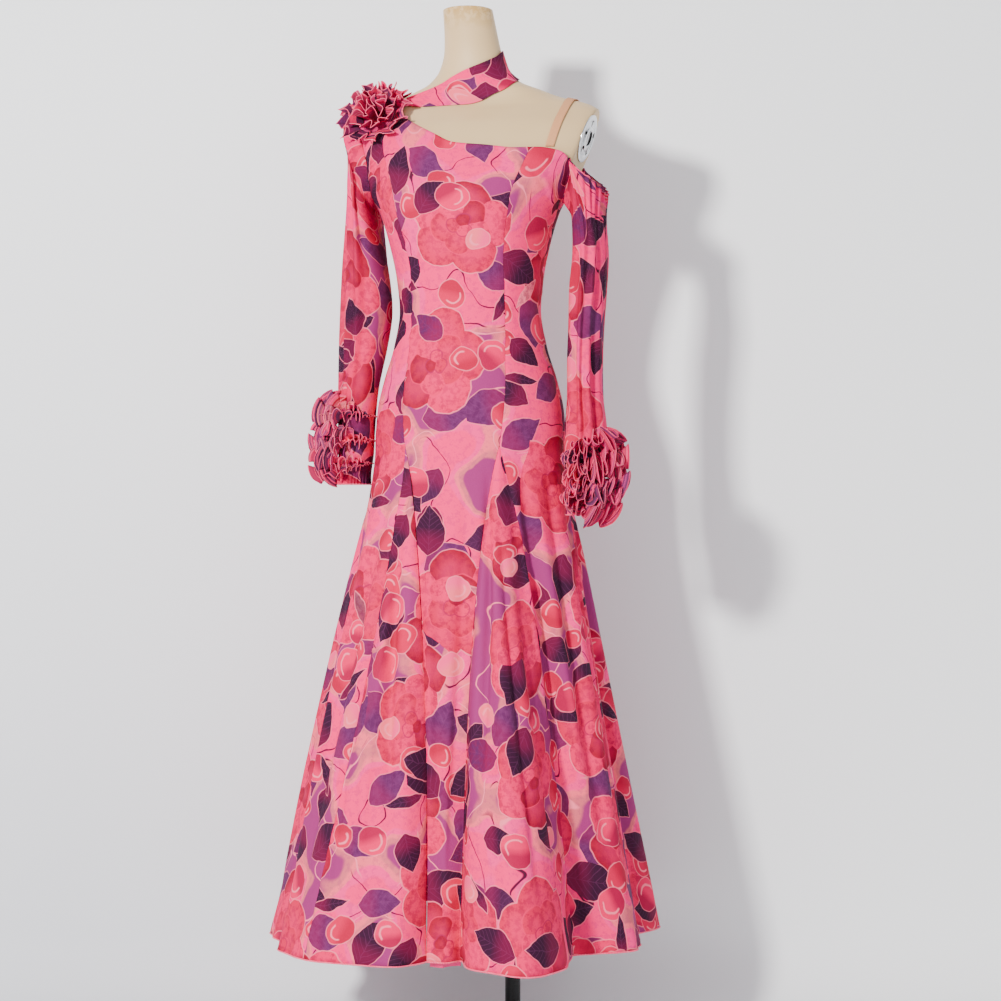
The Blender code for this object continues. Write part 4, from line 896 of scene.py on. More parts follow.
def make_finishes(paint):
    """Every finish of the dress and its form, by name."""
    flowers, crepe, serge, wear = print_group(paint), crepe_group(), serge_group(), wear_group()
    made = {}

    for name, depth, constants in (("printed_crepe", 0.0011, {}), ("printed_ruffle", 0.0006, {}),
                                   ("printed_sheer", 0.0006, {"Alpha": 0.86})):
        finish, tree, shader = new_material(name, 0.82, Specular_IOR_Level=0.15, **constants)
        place = cloth_place(tree)
        (colour,) = placed(tree, flowers, place)
        (height,) = placed(tree, crepe, place)
        if name == "printed_ruffle":
            # Painted shade: dark mauve patches at random over the ruffles' cloth stand in for the shade deep
            # in their folds.
            painted_fold_shade = noise(tree, place, 30.0, 0.0).under(0.54, 0.05) * 0.55
            colour = mixed(painted_fold_shade, colour, paint["ruffle_shade"])
        colour_socket(tree, shader, colour)
        relief(tree, shader, height, 0.5, depth)
        made[name] = finish

    finish, tree, shader = new_material("serged_thread", 0.75, Sheen_Weight=0.2)
    shade, height = placed(tree, serge, cloth_place(tree))
    colour_socket(tree, shader, ramp(shade, [(0.15, paint["hot"]), (0.45, paint["bright"]),
                                             (0.70, paint["outline"]), (0.95, paint["thread"])]))
    relief(tree, shader, height, 0.6, 0.0004)
    made["serged_thread"] = finish

    finish, tree, shader = new_material("pink_lining", 0.70, Sheen_Weight=0.1)
    place = cloth_place(tree)
    (height,) = placed(tree, crepe, place)
    colour_socket(tree, shader, mixed(noise(tree, place, 14.0, 3.0).under(0.5, 0.3) * 0.5,
                                      paint["lining"], paint["hot"]))
    relief(tree, shader, height, 0.4, 0.0006)
    made["pink_lining"] = finish

    finish, tree, shader = new_material("nude_elastic", 0.72)
    place = cloth_place(tree)
    parts = node_of(tree, "ShaderNodeSeparateXYZ", Vector=place)
    ribs = (out_of(parts, 0) * 5200.0).math("SINE") * 0.5 + 0.5
    picks = (out_of(parts, 1) * 4200.0).math("SINE") * 0.5 + 0.5
    colour_socket(tree, shader, mixed(ribs * 0.35 + picks * 0.25, paint["elastic"], paint["elastic_dark"]))
    relief(tree, shader, ribs + picks * 0.6, 0.5, 0.0003)
    made["nude_elastic"] = finish

    finish, tree, shader = new_material("form_shell", 0.55, Coat_Weight=0.05)
    place = out_of(node_of(tree, "ShaderNodeTexCoord"), "Object")
    grain, worn = placed(tree, wear, place, 1.612)
    tone = noise(tree, place, 7.0, 3.0, 0.55, dimensions="3D")
    colour = mixed(tone.under(0.5, 0.35) * 0.5, paint["shell"], paint["shell_dark"])
    colour_socket(tree, shader, mixed(worn * 0.8, colour, paint["shell_worn"]))
    tree.links.new((grain * 0.16 + 0.46).socket, shader.inputs["Roughness"])
    relief(tree, shader, grain + worn * -1.2, 0.25, 0.0004)
    made["form_shell"] = finish

    finish, tree, shader = new_material("arm_plate_metal", 0.16, Metallic=1.0)
    place = out_of(node_of(tree, "ShaderNodeTexCoord"), "Object")
    scratches = noise(tree, place, 300.0, 3.0, 0.7, dimensions="3D")
    parts = node_of(tree, "ShaderNodeSeparateXYZ", Vector=place)
    aside = out_of(parts, 1) - ARM_MIDDLE_Y
    upwards = (out_of(parts, 2) - ARM_CUT_Z) * math.hypot(1.0, ARM_CUT_SLOPE)
    radius = (aside * aside + upwards * upwards).math("SQRT")
    around = aside.math("ARCTAN2", upwards)
    # Painted shade: the star of cut-outs in the recessed ring is not cut but painted black, standing in for
    # the dark inside the openings; the black hub is the plate's own colour.
    painted_cutout_shade = abs((around * 2.5).math("SINE")).under(0.34, 0.08) * abs(radius - 0.0235).under(0.0055, 0.001)
    beside_slot = abs(aside).under(0.0028, 0.0006).math("SUBTRACT", 1.0).math("ABSOLUTE")
    hub = radius.under(0.0125, 0.001) * beside_slot
    metal = mixed(scratches.under(0.5, 0.4) * 0.5, paint["chrome"], paint["chrome_dark"])
    colour_socket(tree, shader, mixed(painted_cutout_shade.math("MAXIMUM", hub), metal, paint["black"]))
    tree.links.new((scratches * 0.22 + 0.08).socket, shader.inputs["Roughness"])
    made["arm_plate_metal"] = finish

    finish, tree, shader = new_material("black_metal", 0.35, Metallic=0.4)
    place = out_of(node_of(tree, "ShaderNodeTexCoord"), "Object")
    grain, worn = placed(tree, wear, place, 2.5)
    colour_socket(tree, shader, mixed(grain.under(0.5, 0.4) * 0.6, paint["black"], paint["black_worn"]))
    tree.links.new((grain * 0.25 + 0.25).socket, shader.inputs["Roughness"])
    relief(tree, shader, grain, 0.2, 0.0003)
    made["black_metal"] = finish
    return made


def linear(red, green, blue):
    """A screen colour of 0 to 255 as linear light: the usual 2.4 power with its straight foot."""
    values = np.array([red, green, blue]) / 255.0
    light = np.where(values <= 0.04045, values / 12.92, ((values + 0.055) / 1.055) ** 2.4)
    return tuple(float(value) for value in light)


# The paints of the print and the finishes, as screen colours.
PAINTS = {
    "bright": (250, 4, 104), "rose": (246, 36, 122), "peach": (240, 88, 108),
    "mauve": (142, 40, 100), "beige": (204, 88, 102), "plum": (84, 26, 72),
    "lilac": (106, 44, 92), "dark_plum": (50, 12, 40), "plum_red": (112, 10, 56),
    "vein": (116, 52, 98), "blush": (154, 10, 70), "coral": (206, 0, 66),
    "red": (156, 0, 44), "hot": (228, 0, 82), "crimson": (108, 0, 44),
    "outline": (244, 112, 134), "stem": (76, 14, 44), "thread": (246, 196, 194),
    # The first colour of the next row is the painted shade of the ruffles' folds.
    "ruffle_shade": (92, 44, 72), "lining": (246, 40, 124),
    "elastic": (214, 152, 106), "elastic_dark": (186, 120, 76),
    "shell": (210, 178, 132), "shell_dark": (196, 162, 114), "shell_worn": (180, 138, 66),
    "chrome": (205, 207, 210), "chrome_dark": (150, 152, 156), "black": (14, 14, 16),
    # The last colour of the next row is the painted shade of the wall and floor.
    "black_worn": (38, 37, 37), "wall": (253, 254, 255), "wall_painted_shade": (214, 216, 221),
}


def size(name, description, default, top=1.0):
    return FloatProperty(name=name, description=description, default=default, min=0.0, max=top,
                         unit="LENGTH", precision=4)


def amount(name, description, default, top=4.0):
    return FloatProperty(name=name, description=description, default=default, min=0.0, max=top,
                         subtype="FACTOR")


def tint(name, description, paint):
    return FloatVectorProperty(name=name, description=description, default=linear(*PAINTS[paint]),
                               size=3, min=0.0, max=1.0, subtype="COLOR")


class DressSizes(PropertyGroup):
    """Sizes of the cloth that a user would change."""

    cloth: size("Cloth", "Thickness of the body's crepe", 0.0009, 0.003)
    sheer: size("Sheer cloth", "Thickness of the sleeves' cloth", 0.0007, 0.003)
    seam_depth: size("Seam depth", "How far a seam pulls the cloth in", 0.0011, 0.003)
    seam_width: size("Seam width", "How wide the pull of a seam is", 0.0038, 0.02)
    pucker: size("Pucker", "Height of the puckers beside a seam", 0.0005, 0.003)
    edge_roll: size("Edge roll", "Radius of the serged roll along a hem", 0.0011, 0.003)
    creases: amount("Creases", "Strength of the creases of bodice and sleeves", 1.15)
    folds: amount("Skirt folds", "Strength of the folds of the skirt", 1.5)
    fullness: amount("Ruffles", "Depth of the waves in ruffles and rosette", 1.0)


class DressPaints(PropertyGroup):
    """Colours that a user would change."""

    bright: tint("Pink ground", "Brightest patches of the ground", "bright")
    mauve: tint("Mauve ground", "Cool patches of the ground", "mauve")
    beige: tint("Beige ground", "Dull patches of the ground", "beige")
    peach: tint("Peach ground", "Warm patches of the ground", "peach")
    plum: tint("Leaves", "Plum of the leaves", "plum")
    coral: tint("Blossoms", "Coral of the petals", "coral")
    crimson: tint("Shadows of petals", "Darkest red of the petals", "crimson")
    shell: tint("Form", "Shell of the dress form", "shell")


class StageSizes(PropertyGroup):
    """The backdrop and lights."""

    wall_distance: size("Wall distance", "From the middle of the dress to the wall", 0.345, 3.0)
    key: FloatProperty(name="Key light", description="Power of the main light", default=178.0,
                       min=0.0, unit="POWER")
    fill: FloatProperty(name="Fill light", description="Power of the soft fill", default=12.0,
                        min=0.0, unit="POWER")


def finish_named(name):
    """The finish of that name: all of them are made when the first is asked for."""
    found = bpy.data.materials.get(f"{name}_finish")
    if found is None:
        chosen = bpy.context.scene.dress_paints
        paint = {key: linear(*value) for key, value in PAINTS.items()}
        paint |= {key: tuple(getattr(chosen, key)) for key in DressPaints.__annotations__}
        make_finishes(paint)
        found = bpy.data.materials[f"{name}_finish"]
    return found


def dress_sizes():
    """The cloth's sizes, as the panel in the sidebar has them."""
    return bpy.context.scene.dress_sizes


def dressed(points, normals):
    """A body piece's points with its creases and skirt folds, its pulled-in seams, their puckers
    and the flutter of the hem."""
    sizes = dress_sizes()
    points = creased(points, normals, BODICE_CREASES, sizes.creases)
    points = creased(points, normals, SKIRT_CREASES, sizes.folds)
    steps = np.linalg.norm(np.diff(points, axis=1), axis=-1)
    from_left = np.concatenate([np.zeros((len(points), 1)), np.cumsum(steps, axis=1)], axis=1)
    off = np.minimum(from_left, from_left[:, -1:] - from_left)
    z = points[..., 2]
    groove = -sizes.seam_depth * np.exp(-(off / sizes.seam_width) ** 2)
    pucker = (sizes.pucker * np.sin(2 * np.pi * z / PUCKER_SPACING + 3 * np.sin(z * 23))
              * np.exp(-(off / PUCKER_REACH) ** 2))
    turn = np.arctan2(points[..., 0], -points[..., 1])
    flutter = (FLUTTER_HEIGHT * np.sin(FLUTTER_WAVES * turn + 2 * np.sin(5 * turn))
               * np.exp(-((z - HEM_Z) / FLUTTER_REACH) ** 2))
    return points + normals * (groove + pucker + flutter)[..., None]


def hem_roll(name, points, normals):
    """The serged roll that ends a body piece at the hem."""
    radius = dress_sizes().edge_roll
    path = points[-1] + np.array([0, 0, -radius * 0.5])
    return roll(f"hem_roll_{name}", path, normals[-1], radius, finish_named("serged_thread"))


class DRESS_OT_body_panels(Operator):
    """The six panels of the body, from the slanted top edge through the hip to the hem"""

    bl_idname = "dress.body_panels"
    bl_label = "Body panels"

    def execute(self, context):
        for name, first, last, shift in PANELS:
            places = line_columns(first, last)
            deg, z = (refined(grid, ROWS_BETWEEN) for grid in panel_grid(first, last, places))
            above = body_frame(deg, z)
            down = (np.arange(1, SKIRT_ROWS + 1) / SKIRT_ROWS)[:, None] ** 1.1
            below = skirt_frame(np.repeat(places[None], len(down), axis=0), down)
            points, normals = (np.vstack(pair) for pair in zip(above, below))
            points = dressed(points, normals)
            top = np.linalg.norm(points - points[:1], axis=-1)
            edge = (TOP_FOLD_HEIGHT * np.exp(-(top / TOP_FOLD_REACH) ** 2)
                    - TOP_STITCH_DEPTH * np.exp(-((top - TOP_STITCH_DOWN) / TOP_STITCH_REACH) ** 2))
            points = points + normals * edge[..., None]
            made = piece(name + "_cloth", points, cloth_uv(points, False, shift),
                         finish_named("printed_crepe"))
            thicken(made, dress_sizes().cloth)
            sheet_facts(points, False, name,
                        [hem_roll(name, points, normals)])
        return {"FINISHED"}


class DRESS_OT_godets(Operator):
    """The six godets, from their points at the hip to the hem"""

    bl_idname = "dress.godets"
    bl_label = "Godets"

    def execute(self, context):
        for name, first, last, shift in GODETS:
            places = line_columns(first, last)
            down = 0.004 + 0.996 * (np.arange(SKIRT_ROWS + 1) / SKIRT_ROWS)[:, None] ** 1.1
            points, normals = skirt_frame(np.repeat(places[None], len(down), axis=0), down)
            points = dressed(points, normals)
            made = piece(name + "_cloth", points, cloth_uv(points, False, shift),
                         finish_named("printed_crepe"))
            thicken(made, dress_sizes().cloth)
            sheet_facts(points, False, name,
                        [hem_roll(name, points, normals)])
        return {"FINISHED"}


class DRESS_OT_lining(Operator):
    """The pink lining gore, inside the centre front and a little longer"""

    bl_idname = "dress.lining"
    bl_label = "Lining gore"

    def execute(self, context):
        places = line_columns(0, 2)
        down = np.linspace(0.12, 1.0, 60)[:, None]
        points, normals = skirt_frame(np.repeat(places[None], len(down), axis=0), down)
        below_top = (down[..., None] - down[0]) / (1 - down[0])
        inside = LINING_INSIDE_TOP + 0.001 + (LINING_INSIDE_HEM - LINING_INSIDE_TOP) * below_top
        points = creased(points - normals * inside, normals, SKIRT_CREASES, dress_sizes().folds)
        points[..., 2] -= LINING_LONGER * down
        made = piece("lining_front_cloth", points, cloth_uv(points, False),
                     finish_named("pink_lining"))
        thicken(made, dress_sizes().sheer)
        sheet_facts(points, False, "lining_front")
        return {"FINISHED"}


def sleeve_rings(table, turn):
    """Rings of a sleeve: middle + cos(turn) towards its outer side, sin(turn) towards the front."""
    outer_x, outer_z, inner_x, inner_z, middle_y, depth = np.moveaxis(np.array(table)[:, None, :], -1, 0)
    x = (outer_x + inner_x) / 2 + (outer_x - inner_x) / 2 * np.cos(turn)
    z = (outer_z + inner_z) / 2 + (outer_z - inner_z) / 2 * np.cos(turn)
    return np.stack([x, middle_y - depth * np.sin(turn), z], axis=-1)


def right_top_ring(turn):
    """The armhole's own edge."""
    return body_point(*armhole(turn))


def left_top_ring(turn):
    """Under the arm it follows the bodice's top edge, and over the bare arm it hangs free."""
    deg = 90 - LEFT_ARMHOLE_HALF_DEG * np.sin(turn)
    edge = body_point(deg, top_edge(deg)) + np.array([0.0008, 0, 0])
    outer_x, outer_z = LEFT_TOP_OUTER
    inner_x = edge[len(turn) // 2, 0]
    x = (outer_x + inner_x) / 2 + (outer_x - inner_x) / 2 * np.cos(turn)
    z = outer_z + LEFT_TOP_LIFT * np.sin(turn) ** 2
    free = np.stack([x, LEFT_TOP_Y - LEFT_TOP_HALF_DEPTH * np.sin(turn), z], axis=-1)
    share = smooth((-np.cos(turn) + 0.35) / 0.45)[:, None]
    return edge * share + free * (1 - share)


def sleeve_surface(top_ring, table, side, folds, top_gathers):
    """A sleeve's fine rings and outward normals: its rings refined, long folds as bells across
    leaning lines, gathers at the cuff, pleats drawn towards the ruffles, and gathers of the elastic
    at a free top edge."""
    strength = dress_sizes().creases
    turn = 2 * np.pi * np.arange(SLEEVE_COLUMNS) / SLEEVE_COLUMNS
    rings = refined(np.concatenate([top_ring(turn)[None], sleeve_rings(table, turn)]), RINGS_BETWEEN)
    normals = ring_normals(rings) * side
    down = np.linspace(0, 1, len(rings))[:, None]
    moved = np.zeros(rings.shape[:2])
    for top_deg, low_deg, width, out, start, end in folds:
        off = (np.degrees(turn) - (top_deg + (low_deg - top_deg) * down) + 180) % 360 - 180
        reach = np.sin(np.pi * np.clip((down - start) / (end - start), 0, 1)) ** 0.7
        moved += out * np.exp(-(off / width) ** 2) * reach
    cuff = np.exp(-((1 - down) / CUFF_GATHER_REACH) ** 2)
    gathers = CUFF_GATHER_HEIGHT * np.sin(CUFF_GATHERS * turn + 2 * np.sin(3 * turn))
    moved = moved * (1 - 0.7 * cuff) + gathers * cuff
    towards = (np.exp(-((np.degrees(turn) - PLEAT_DEG) / PLEAT_SPREAD_DEG) ** 2)
               * np.exp(-((down - PLEAT_DOWN) / PLEAT_REACH) ** 2))
    moved += PLEAT_HEIGHT * towards * np.sin(2 * np.pi * rings[..., 2] / PLEAT_SPACING + 1.1 * turn)
    head = np.exp(-(down / 0.11) ** 2) * (1 - np.exp(-(down / 0.012) ** 2) * 0.35)
    free = smooth((np.cos(turn) + 0.75) / 0.6)
    moved += top_gathers * head * free * np.sin(TOP_GATHERS * turn + 1.6 * np.sin(3 * turn + 1))
    return rings + normals * (moved * strength)[..., None], normals


def sleeve_piece(name, points, side):
    """The sleeve's cloth, with the rolls that end it at the cuff and at a free top edge."""
    sizes = dress_sizes()
    shown = flip(points) if side > 0 else points
    made = piece(name + "_cloth", shown, cloth_uv(shown, True, (13.1 + side, 0.2)),
                 finish_named("printed_sheer"), ring=True)
    thicken(made, sizes.sheer)
    normals = ring_normals(points) * side
    ends = [roll(f"{name}_cuff_edge", points[-1], normals[-1], sizes.edge_roll * 0.8,
                 finish_named("serged_thread"), closed=True)]
    if side > 0:
        path = points[0] + normals[0] * TOP_ROLL_OUT
        ends.append(roll(f"{name}_top_edge", path, normals[0], sizes.edge_roll * 0.9,
                         finish_named("printed_sheer"), closed=True))
    sheet_facts(points, True, name, ends)


def ruffle_piece(name, rings, normals, row, seed):
    """A strip gathered along its middle, with both long edges free. From its root on the sleeve
    each half stands out, one above the other, fullest towards one side. Its tilt swings up and
    down round the cuff, so that it lies in deep folds whose ends curl sideways."""
    sizes = dress_sizes()
    place, stand_out, tilt = row
    count = RUFFLE_FOLDS * COLUMNS_PER_FOLD
    turn = 2 * np.pi * np.arange(count) / count
    at = turn / (2 * np.pi) * SLEEVE_COLUMNS
    keys = np.arange(SLEEVE_COLUMNS + 1)
    level = round(place * RINGS_BETWEEN)
    root, facing = (np.stack([np.interp(at, keys, np.append(v[level, :, k], v[level, 0, k]))
                              for k in range(3)], axis=-1) for v in (rings, normals))
    facing[:, 2] = 0.0
    facing = unit(facing)
    full = RUFFLE_LEAST + (1 - RUFFLE_LEAST) * (
        (1 + np.cos(turn - np.radians(RUFFLE_FULLEST_DEG))) / 2) ** RUFFLE_POWER
    half = np.linspace(1, -1, RUFFLE_ROWS)[:, None]
    share, upper = np.abs(half), np.sign(half)
    drift = 1.3 * np.sin(3 * turn + seed + upper) + 0.8 * np.sin(7 * turn + 2 * seed * upper)
    swing = (np.sin(RUFFLE_FOLDS * turn + drift) + 0.5 * np.sin(RUFFLE_FOLDS * 0.5 * turn + 2 * drift)
             + 0.3 * np.sin(RUFFLE_FOLDS * 1.5 * turn - drift))
    lean = np.radians(tilt + upper * RUFFLE_OPEN_DEG
                      + RUFFLE_SWING_DEG * sizes.fullness * swing * (0.3 + 0.7 * share))
    length = stand_out * full * (1 + 0.16 * np.sin(11 * turn + seed * upper)
                                 + 0.10 * np.sin(19 * turn + drift))
    up = np.array([0, 0, 1.0])
    out = facing * np.cos(lean)[..., None] + up * np.sin(lean)[..., None]
    aside = np.cross(facing, up)
    curl = (RUFFLE_CURL * np.cos(RUFFLE_FOLDS * turn + drift + 0.4)
            + RUFFLE_SMALL_CURL * np.cos(RUFFLE_FOLDS * 2 * turn + 2 * drift))
    curl = curl * full * share ** 1.2 * sizes.fullness
    points = (root + facing * RUFFLE_ROOT_OUT + out * (length * share)[..., None]
              + aside * curl[..., None])
    made = piece(name + "_cloth", points, cloth_uv(points, True, (seed * 1.7, 0.3 * seed)),
                 finish_named("printed_ruffle"), ring=True)
    thicken(made, sizes.sheer, inward=False)
    edges = [roll(f"{name}_edge_{word}", points[end], out[end], sizes.edge_roll * RUFFLE_EDGE_SHARE,
                  finish_named("serged_thread"), closed=True, sides=6)
             for word, end in (("upper", 0), ("lower", -1))]
    sheet_facts(points, True, name, edges, strip=True)


class DRESS_OT_sleeves(Operator):
    """Both sleeves and the three gathered ruffles round each cuff"""

    bl_idname = "dress.sleeves"
    bl_label = "Sleeves and cuff ruffles"

    def execute(self, context):
        for word, top, table, side, folds, gathers, rows in (
                ("right", right_top_ring, RIGHT_SLEEVE, -1, RIGHT_FOLDS, RIGHT_TOP_GATHER,
                 RUFFLE_ROWS_RIGHT),
                ("left", left_top_ring, LEFT_SLEEVE, 1, LEFT_FOLDS, LEFT_TOP_GATHER,
                 RUFFLE_ROWS_LEFT)):
            points, normals = sleeve_surface(top, table, side, folds, gathers)
            sleeve_piece(f"sleeve_{word}", points, side)
            for number, row in enumerate(rows, 1):
                ruffle_piece(f"cuff_ruffle_{word}_{number}", points, normals, row, number + side * 0.4)
        return {"FINISHED"}


class DRESS_OT_rosette(Operator):
    """The shoulder rosette: four gathered strips on a round backing"""

    bl_idname = "dress.rosette"
    bl_label = "Rosette"

    def execute(self, context):
        sizes = dress_sizes()
        low, high = (np.array(corner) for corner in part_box("rosette_backing"))
        facing = unit(np.array(ROSETTE_FACES))
        across = unit(np.cross(np.array([0.0, 0.0, 1.0]), facing))
        up = np.cross(facing, across)
        seat = (low + high) / 2 - facing * 0.001
        turn = -2 * np.pi * np.arange(48) / 48
        share = np.linspace(0, 1, 8)[:, None]
        radius = ROSETTE_HOLE + (ROSETTE_BACKING_RADIUS - ROSETTE_HOLE) * share + 0 * turn
        height = ROSETTE_DOME * (1 - share ** 4) + 0 * turn
        dome = flip(round_axis(seat, facing, across, up, turn, radius, height))
        made = piece("rosette_backing_cloth", dome, cloth_uv(dome, True, (3.3, 0.1)),
                     finish_named("printed_ruffle"), ring=True)
        thicken(made, ROSETTE_BACKING)
        sheet_facts(dome, True, "rosette_backing")
        for seed, (name, root, edge, height, waves, depth) in enumerate(ROSETTE_STRIPS, 1):
            count = waves * 30
            turn = 2 * np.pi * np.arange(count) / count
            share = np.linspace(0, 1, 14)[:, None]
            swing = np.sin(waves * turn + 0.9 * np.sin(2 * turn + seed))
            small = np.sin(2 * waves * turn + 1.4 * np.sin(3 * turn + seed) + seed)
            reach = root + (edge - root) * share ** 1.3
            fold = sizes.fullness * depth * share ** 0.8
            radius = (reach + fold * (swing + 0.45 * small)) * (1 - ROSETTE_DROOP * np.sin(turn))
            tall = height * share * (1 + (0.16 * np.sin(waves * turn + seed * 2)
                                          + 0.10 * np.sin(5 * turn + seed)) * share)
            twist = turn + fold / (reach + 0.004) * 0.55 * np.cos(2 * waves * turn + seed)
            points = round_axis(seat, facing, across, up, twist, radius, STRIP_FOOT + tall)
            made = piece(name + "_cloth", points, cloth_uv(points, True, (seed * 2.9, 0.2 * seed)),
                         finish_named("printed_ruffle"), ring=True)
            thicken(made, sizes.sheer, inward=False)
            trim = roll(f"{name}_edge", points[-1], facing + 0 * points[-1], sizes.edge_roll * 0.5,
                        finish_named("serged_thread"), closed=True)
            sheet_facts(points, True, name, [trim],
                        strip=True)
        return {"FINISHED"}


def form_point(deg, z, out=0.0):
    """The dress form's surface: the body's, a little smaller, and a little lower at the shoulders."""
    upper = np.clip((z - BUST_Z) / 0.03, 0, 1)
    inset = FORM_INSET + (FORM_UPPER_INSET - FORM_INSET) * upper - out
    point = body_point(deg, np.minimum(z + FORM_UPPER_DROP * upper, BODY_SECTIONS[-1][0]), inset)
    point[..., 2] = z
    return point


class DRESS_OT_choker(Operator):
    """The choker band round the neck, gathered towards the rosette"""

    bl_idname = "dress.choker"
    bl_label = "Choker band"

    def execute(self, context):
        deg = np.linspace(CHOKER[0][0], CHOKER[-1][0], 260)
        low, high = (curve(deg, column(CHOKER, 0), column(CHOKER, i)) for i in (1, 2))
        share = np.linspace(1, 0, 26)[:, None]
        z = low + (high - low) * share
        near = np.exp(-((deg + 52) / 20) ** 2) + np.exp(-((deg - 236) / 22) ** 2)
        gather = 0.0013 * np.sin(2 * np.pi * (2.6 * share + 0.12 * np.sin(deg / 9))) * near
        ease = 0.0006 * np.sin(2 * np.pi * (1.1 * share + deg / 70)) * (1 - np.clip(near, 0, 1))
        edge = 0.0005 * (np.exp(-((1 - share) / 0.07) ** 2) + np.exp(-(share / 0.07) ** 2))
        points = form_point(np.repeat(deg[None], len(share), axis=0), z, CHOKER_OUT + gather + ease + edge)
        made = piece("choker_band_cloth", points, cloth_uv(points, False, (15.4, 0.55)),
                     finish_named("printed_crepe"))
        thicken(made, dress_sizes().cloth)
        sheet_facts(points, False, "choker_band")
        return {"FINISHED"}


class DRESS_OT_strap(Operator):
    """The nude elastic over the bare shoulder"""

    bl_idname = "dress.strap"
    bl_label = "Shoulder strap"

    def execute(self, context):
        sides = np.linspace(-0.5, 0.5, 9) * STRAP_WIDTH
        heights = np.linspace(BUST_Z + 0.10, 1.52, 400)
        half, front, back, middle = (
            curve(heights + FORM_UPPER_DROP - STRAP_OUT, column(BODY_SECTIONS, 0), column(BODY_SECTIONS, i))
            for i in range(1, 5))
        out = STRAP_OUT - FORM_UPPER_INSET
        reach = half + out
        above = np.argmax(half)
        ridge = np.interp(-(STRAP_RIDGE_X + sides), -reach[above:], heights[above:])
        share = np.sin(np.linspace(0, np.pi / 2, 34))[:, None]
        z = STRAP_FOOT_Z + (ridge - STRAP_FOOT_Z) * share
        x = STRAP_FOOT_X + (STRAP_RIDGE_X - STRAP_FOOT_X) * share + sides
        stretch = np.sqrt(np.clip(1 - (x / np.interp(z, heights, reach)) ** 2, 0, 1))
        fronts, backs = (np.interp(z, heights, middle) + sign * (np.interp(z, heights, depth) + out) * stretch
                         for sign, depth in ((-1, front), (1, back)))
        front_rows, back_rows = (np.stack([x, y, z], axis=-1) for y in (fronts, backs))
        points = np.concatenate([front_rows, back_rows[::-1][1:]])[::-1]
        made = piece("shoulder_strap_cloth", points, cloth_uv(points, False),
                     finish_named("nude_elastic"))
        thicken(made, STRAP_CLOTH)
        sheet_facts(points, False, "shoulder_strap")
        return {"FINISHED"}


def turned_solid(name, profile, place, facing, finish, node, columns=96):
    """A closed solid turned round an axis. The profile is rows of radius and height along it."""
    facing = unit(np.array(facing, float))
    aside = np.array([0.0, 1.0, 0.0]) if abs(facing[1]) < 0.9 else np.array([1.0, 0.0, 0.0])
    across = unit(np.cross(facing, aside))
    up = np.cross(facing, across)
    turn = 2 * np.pi * np.arange(columns) / columns
    radius, height = (np.array(values, float)[:, None] for values in zip(*profile))
    points = round_axis(np.array(place, float), facing, across, up, turn, radius, height)
    made = weld(piece(name, points, cloth_uv(points, True), finish, ring=True))
    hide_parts(node)
    return made


def rounded(profile, radius=0.0006, steps=3):
    """The profile with each inner corner replaced by a short arc: points of a quadratic curve
    between the two places that lie one radius from the corner."""
    profile = np.array(profile, float)
    rows = [profile[0]]
    for before, corner, after in zip(profile[:-2], profile[1:-1], profile[2:]):
        back, ahead = before - corner, after - corner
        reach = min(radius, np.linalg.norm(back) / 2.2, np.linalg.norm(ahead) / 2.2)
        a, b = corner + unit(back) * reach, corner + unit(ahead) * reach
        t = np.linspace(0, 1, steps)[:, None]
        rows.extend(a * (1 - t) ** 2 + 2 * corner * t * (1 - t) + b * t ** 2)
    rows.append(profile[-1])
    return [tuple(row) for row in rows]


class DRESS_OT_form(Operator):
    """The dress form: the smooth torso with its worn neck top, and the plate where an arm starts"""

    bl_idname = "dress.form"
    bl_label = "Dress form"

    def execute(self, context):
        lower = np.linspace(BODY_SECTIONS[0][0], HIP_Z, 9)[:-1]
        fitted = np.linspace(HIP_Z, BUST_Z, 40)
        upper = np.array([row[0] - FORM_UPPER_DROP for row in BODY_SECTIONS if row[0] > BUST_Z + 0.01])
        upper = refined(upper, 5)
        z = np.concatenate([lower, fitted, upper])[:, None]
        deg = 360.0 * np.arange(128) / 128
        points = form_point(np.repeat(deg[None], len(z), axis=0), np.repeat(z, len(deg), axis=1))
        cut = ARM_CUT_X + (points[..., 2] - ARM_CUT_Z) * ARM_CUT_SLOPE
        cut[points[..., 2] < BUST_Z] = max(column(BODY_SECTIONS, 1))
        points[..., 0] = np.clip(points[..., 0], -cut, cut)
        middle = points[-1].mean(axis=0)
        caps = [middle + (points[-1] - middle) * share + np.array([0, 0, rise])
                for share, rise in ((0.985, 0.0006), (0.95, 0.0009), (0.5, 0.0009), (0.0, 0.0009))]
        foot = points[0].mean(axis=0)
        feet = [foot + (points[0] - foot) * share for share in (0.0, 0.5, 0.96)]
        points = np.concatenate([np.array(feet), points, np.array(caps)])[::-1]
        made = weld(piece("form_torso_shell", points, cloth_uv(points, True), finish_named("form_shell"),
                          ring=True))
        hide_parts("form_torso")
        profile = rounded(((0.0, 0.0), (ARM_PLATE_RADIUS, 0.0), (ARM_PLATE_RADIUS, 0.0013), (0.0355, 0.0019),
                           (0.0290, 0.0019), (0.0278, 0.0010), (0.0200, 0.0010), (0.0188, 0.0028),
                           (0.0120, 0.0034), (0.0108, 0.0014), (0.0, 0.0012)), 0.0004)
        turned_solid("arm_plate_left_disc", profile, (ARM_CUT_X + 0.0003, ARM_MIDDLE_Y, ARM_CUT_Z),
                     (1.0, 0.0, -ARM_CUT_SLOPE), finish_named("arm_plate_metal"), "arm_plate_left")
        return {"FINISHED"}


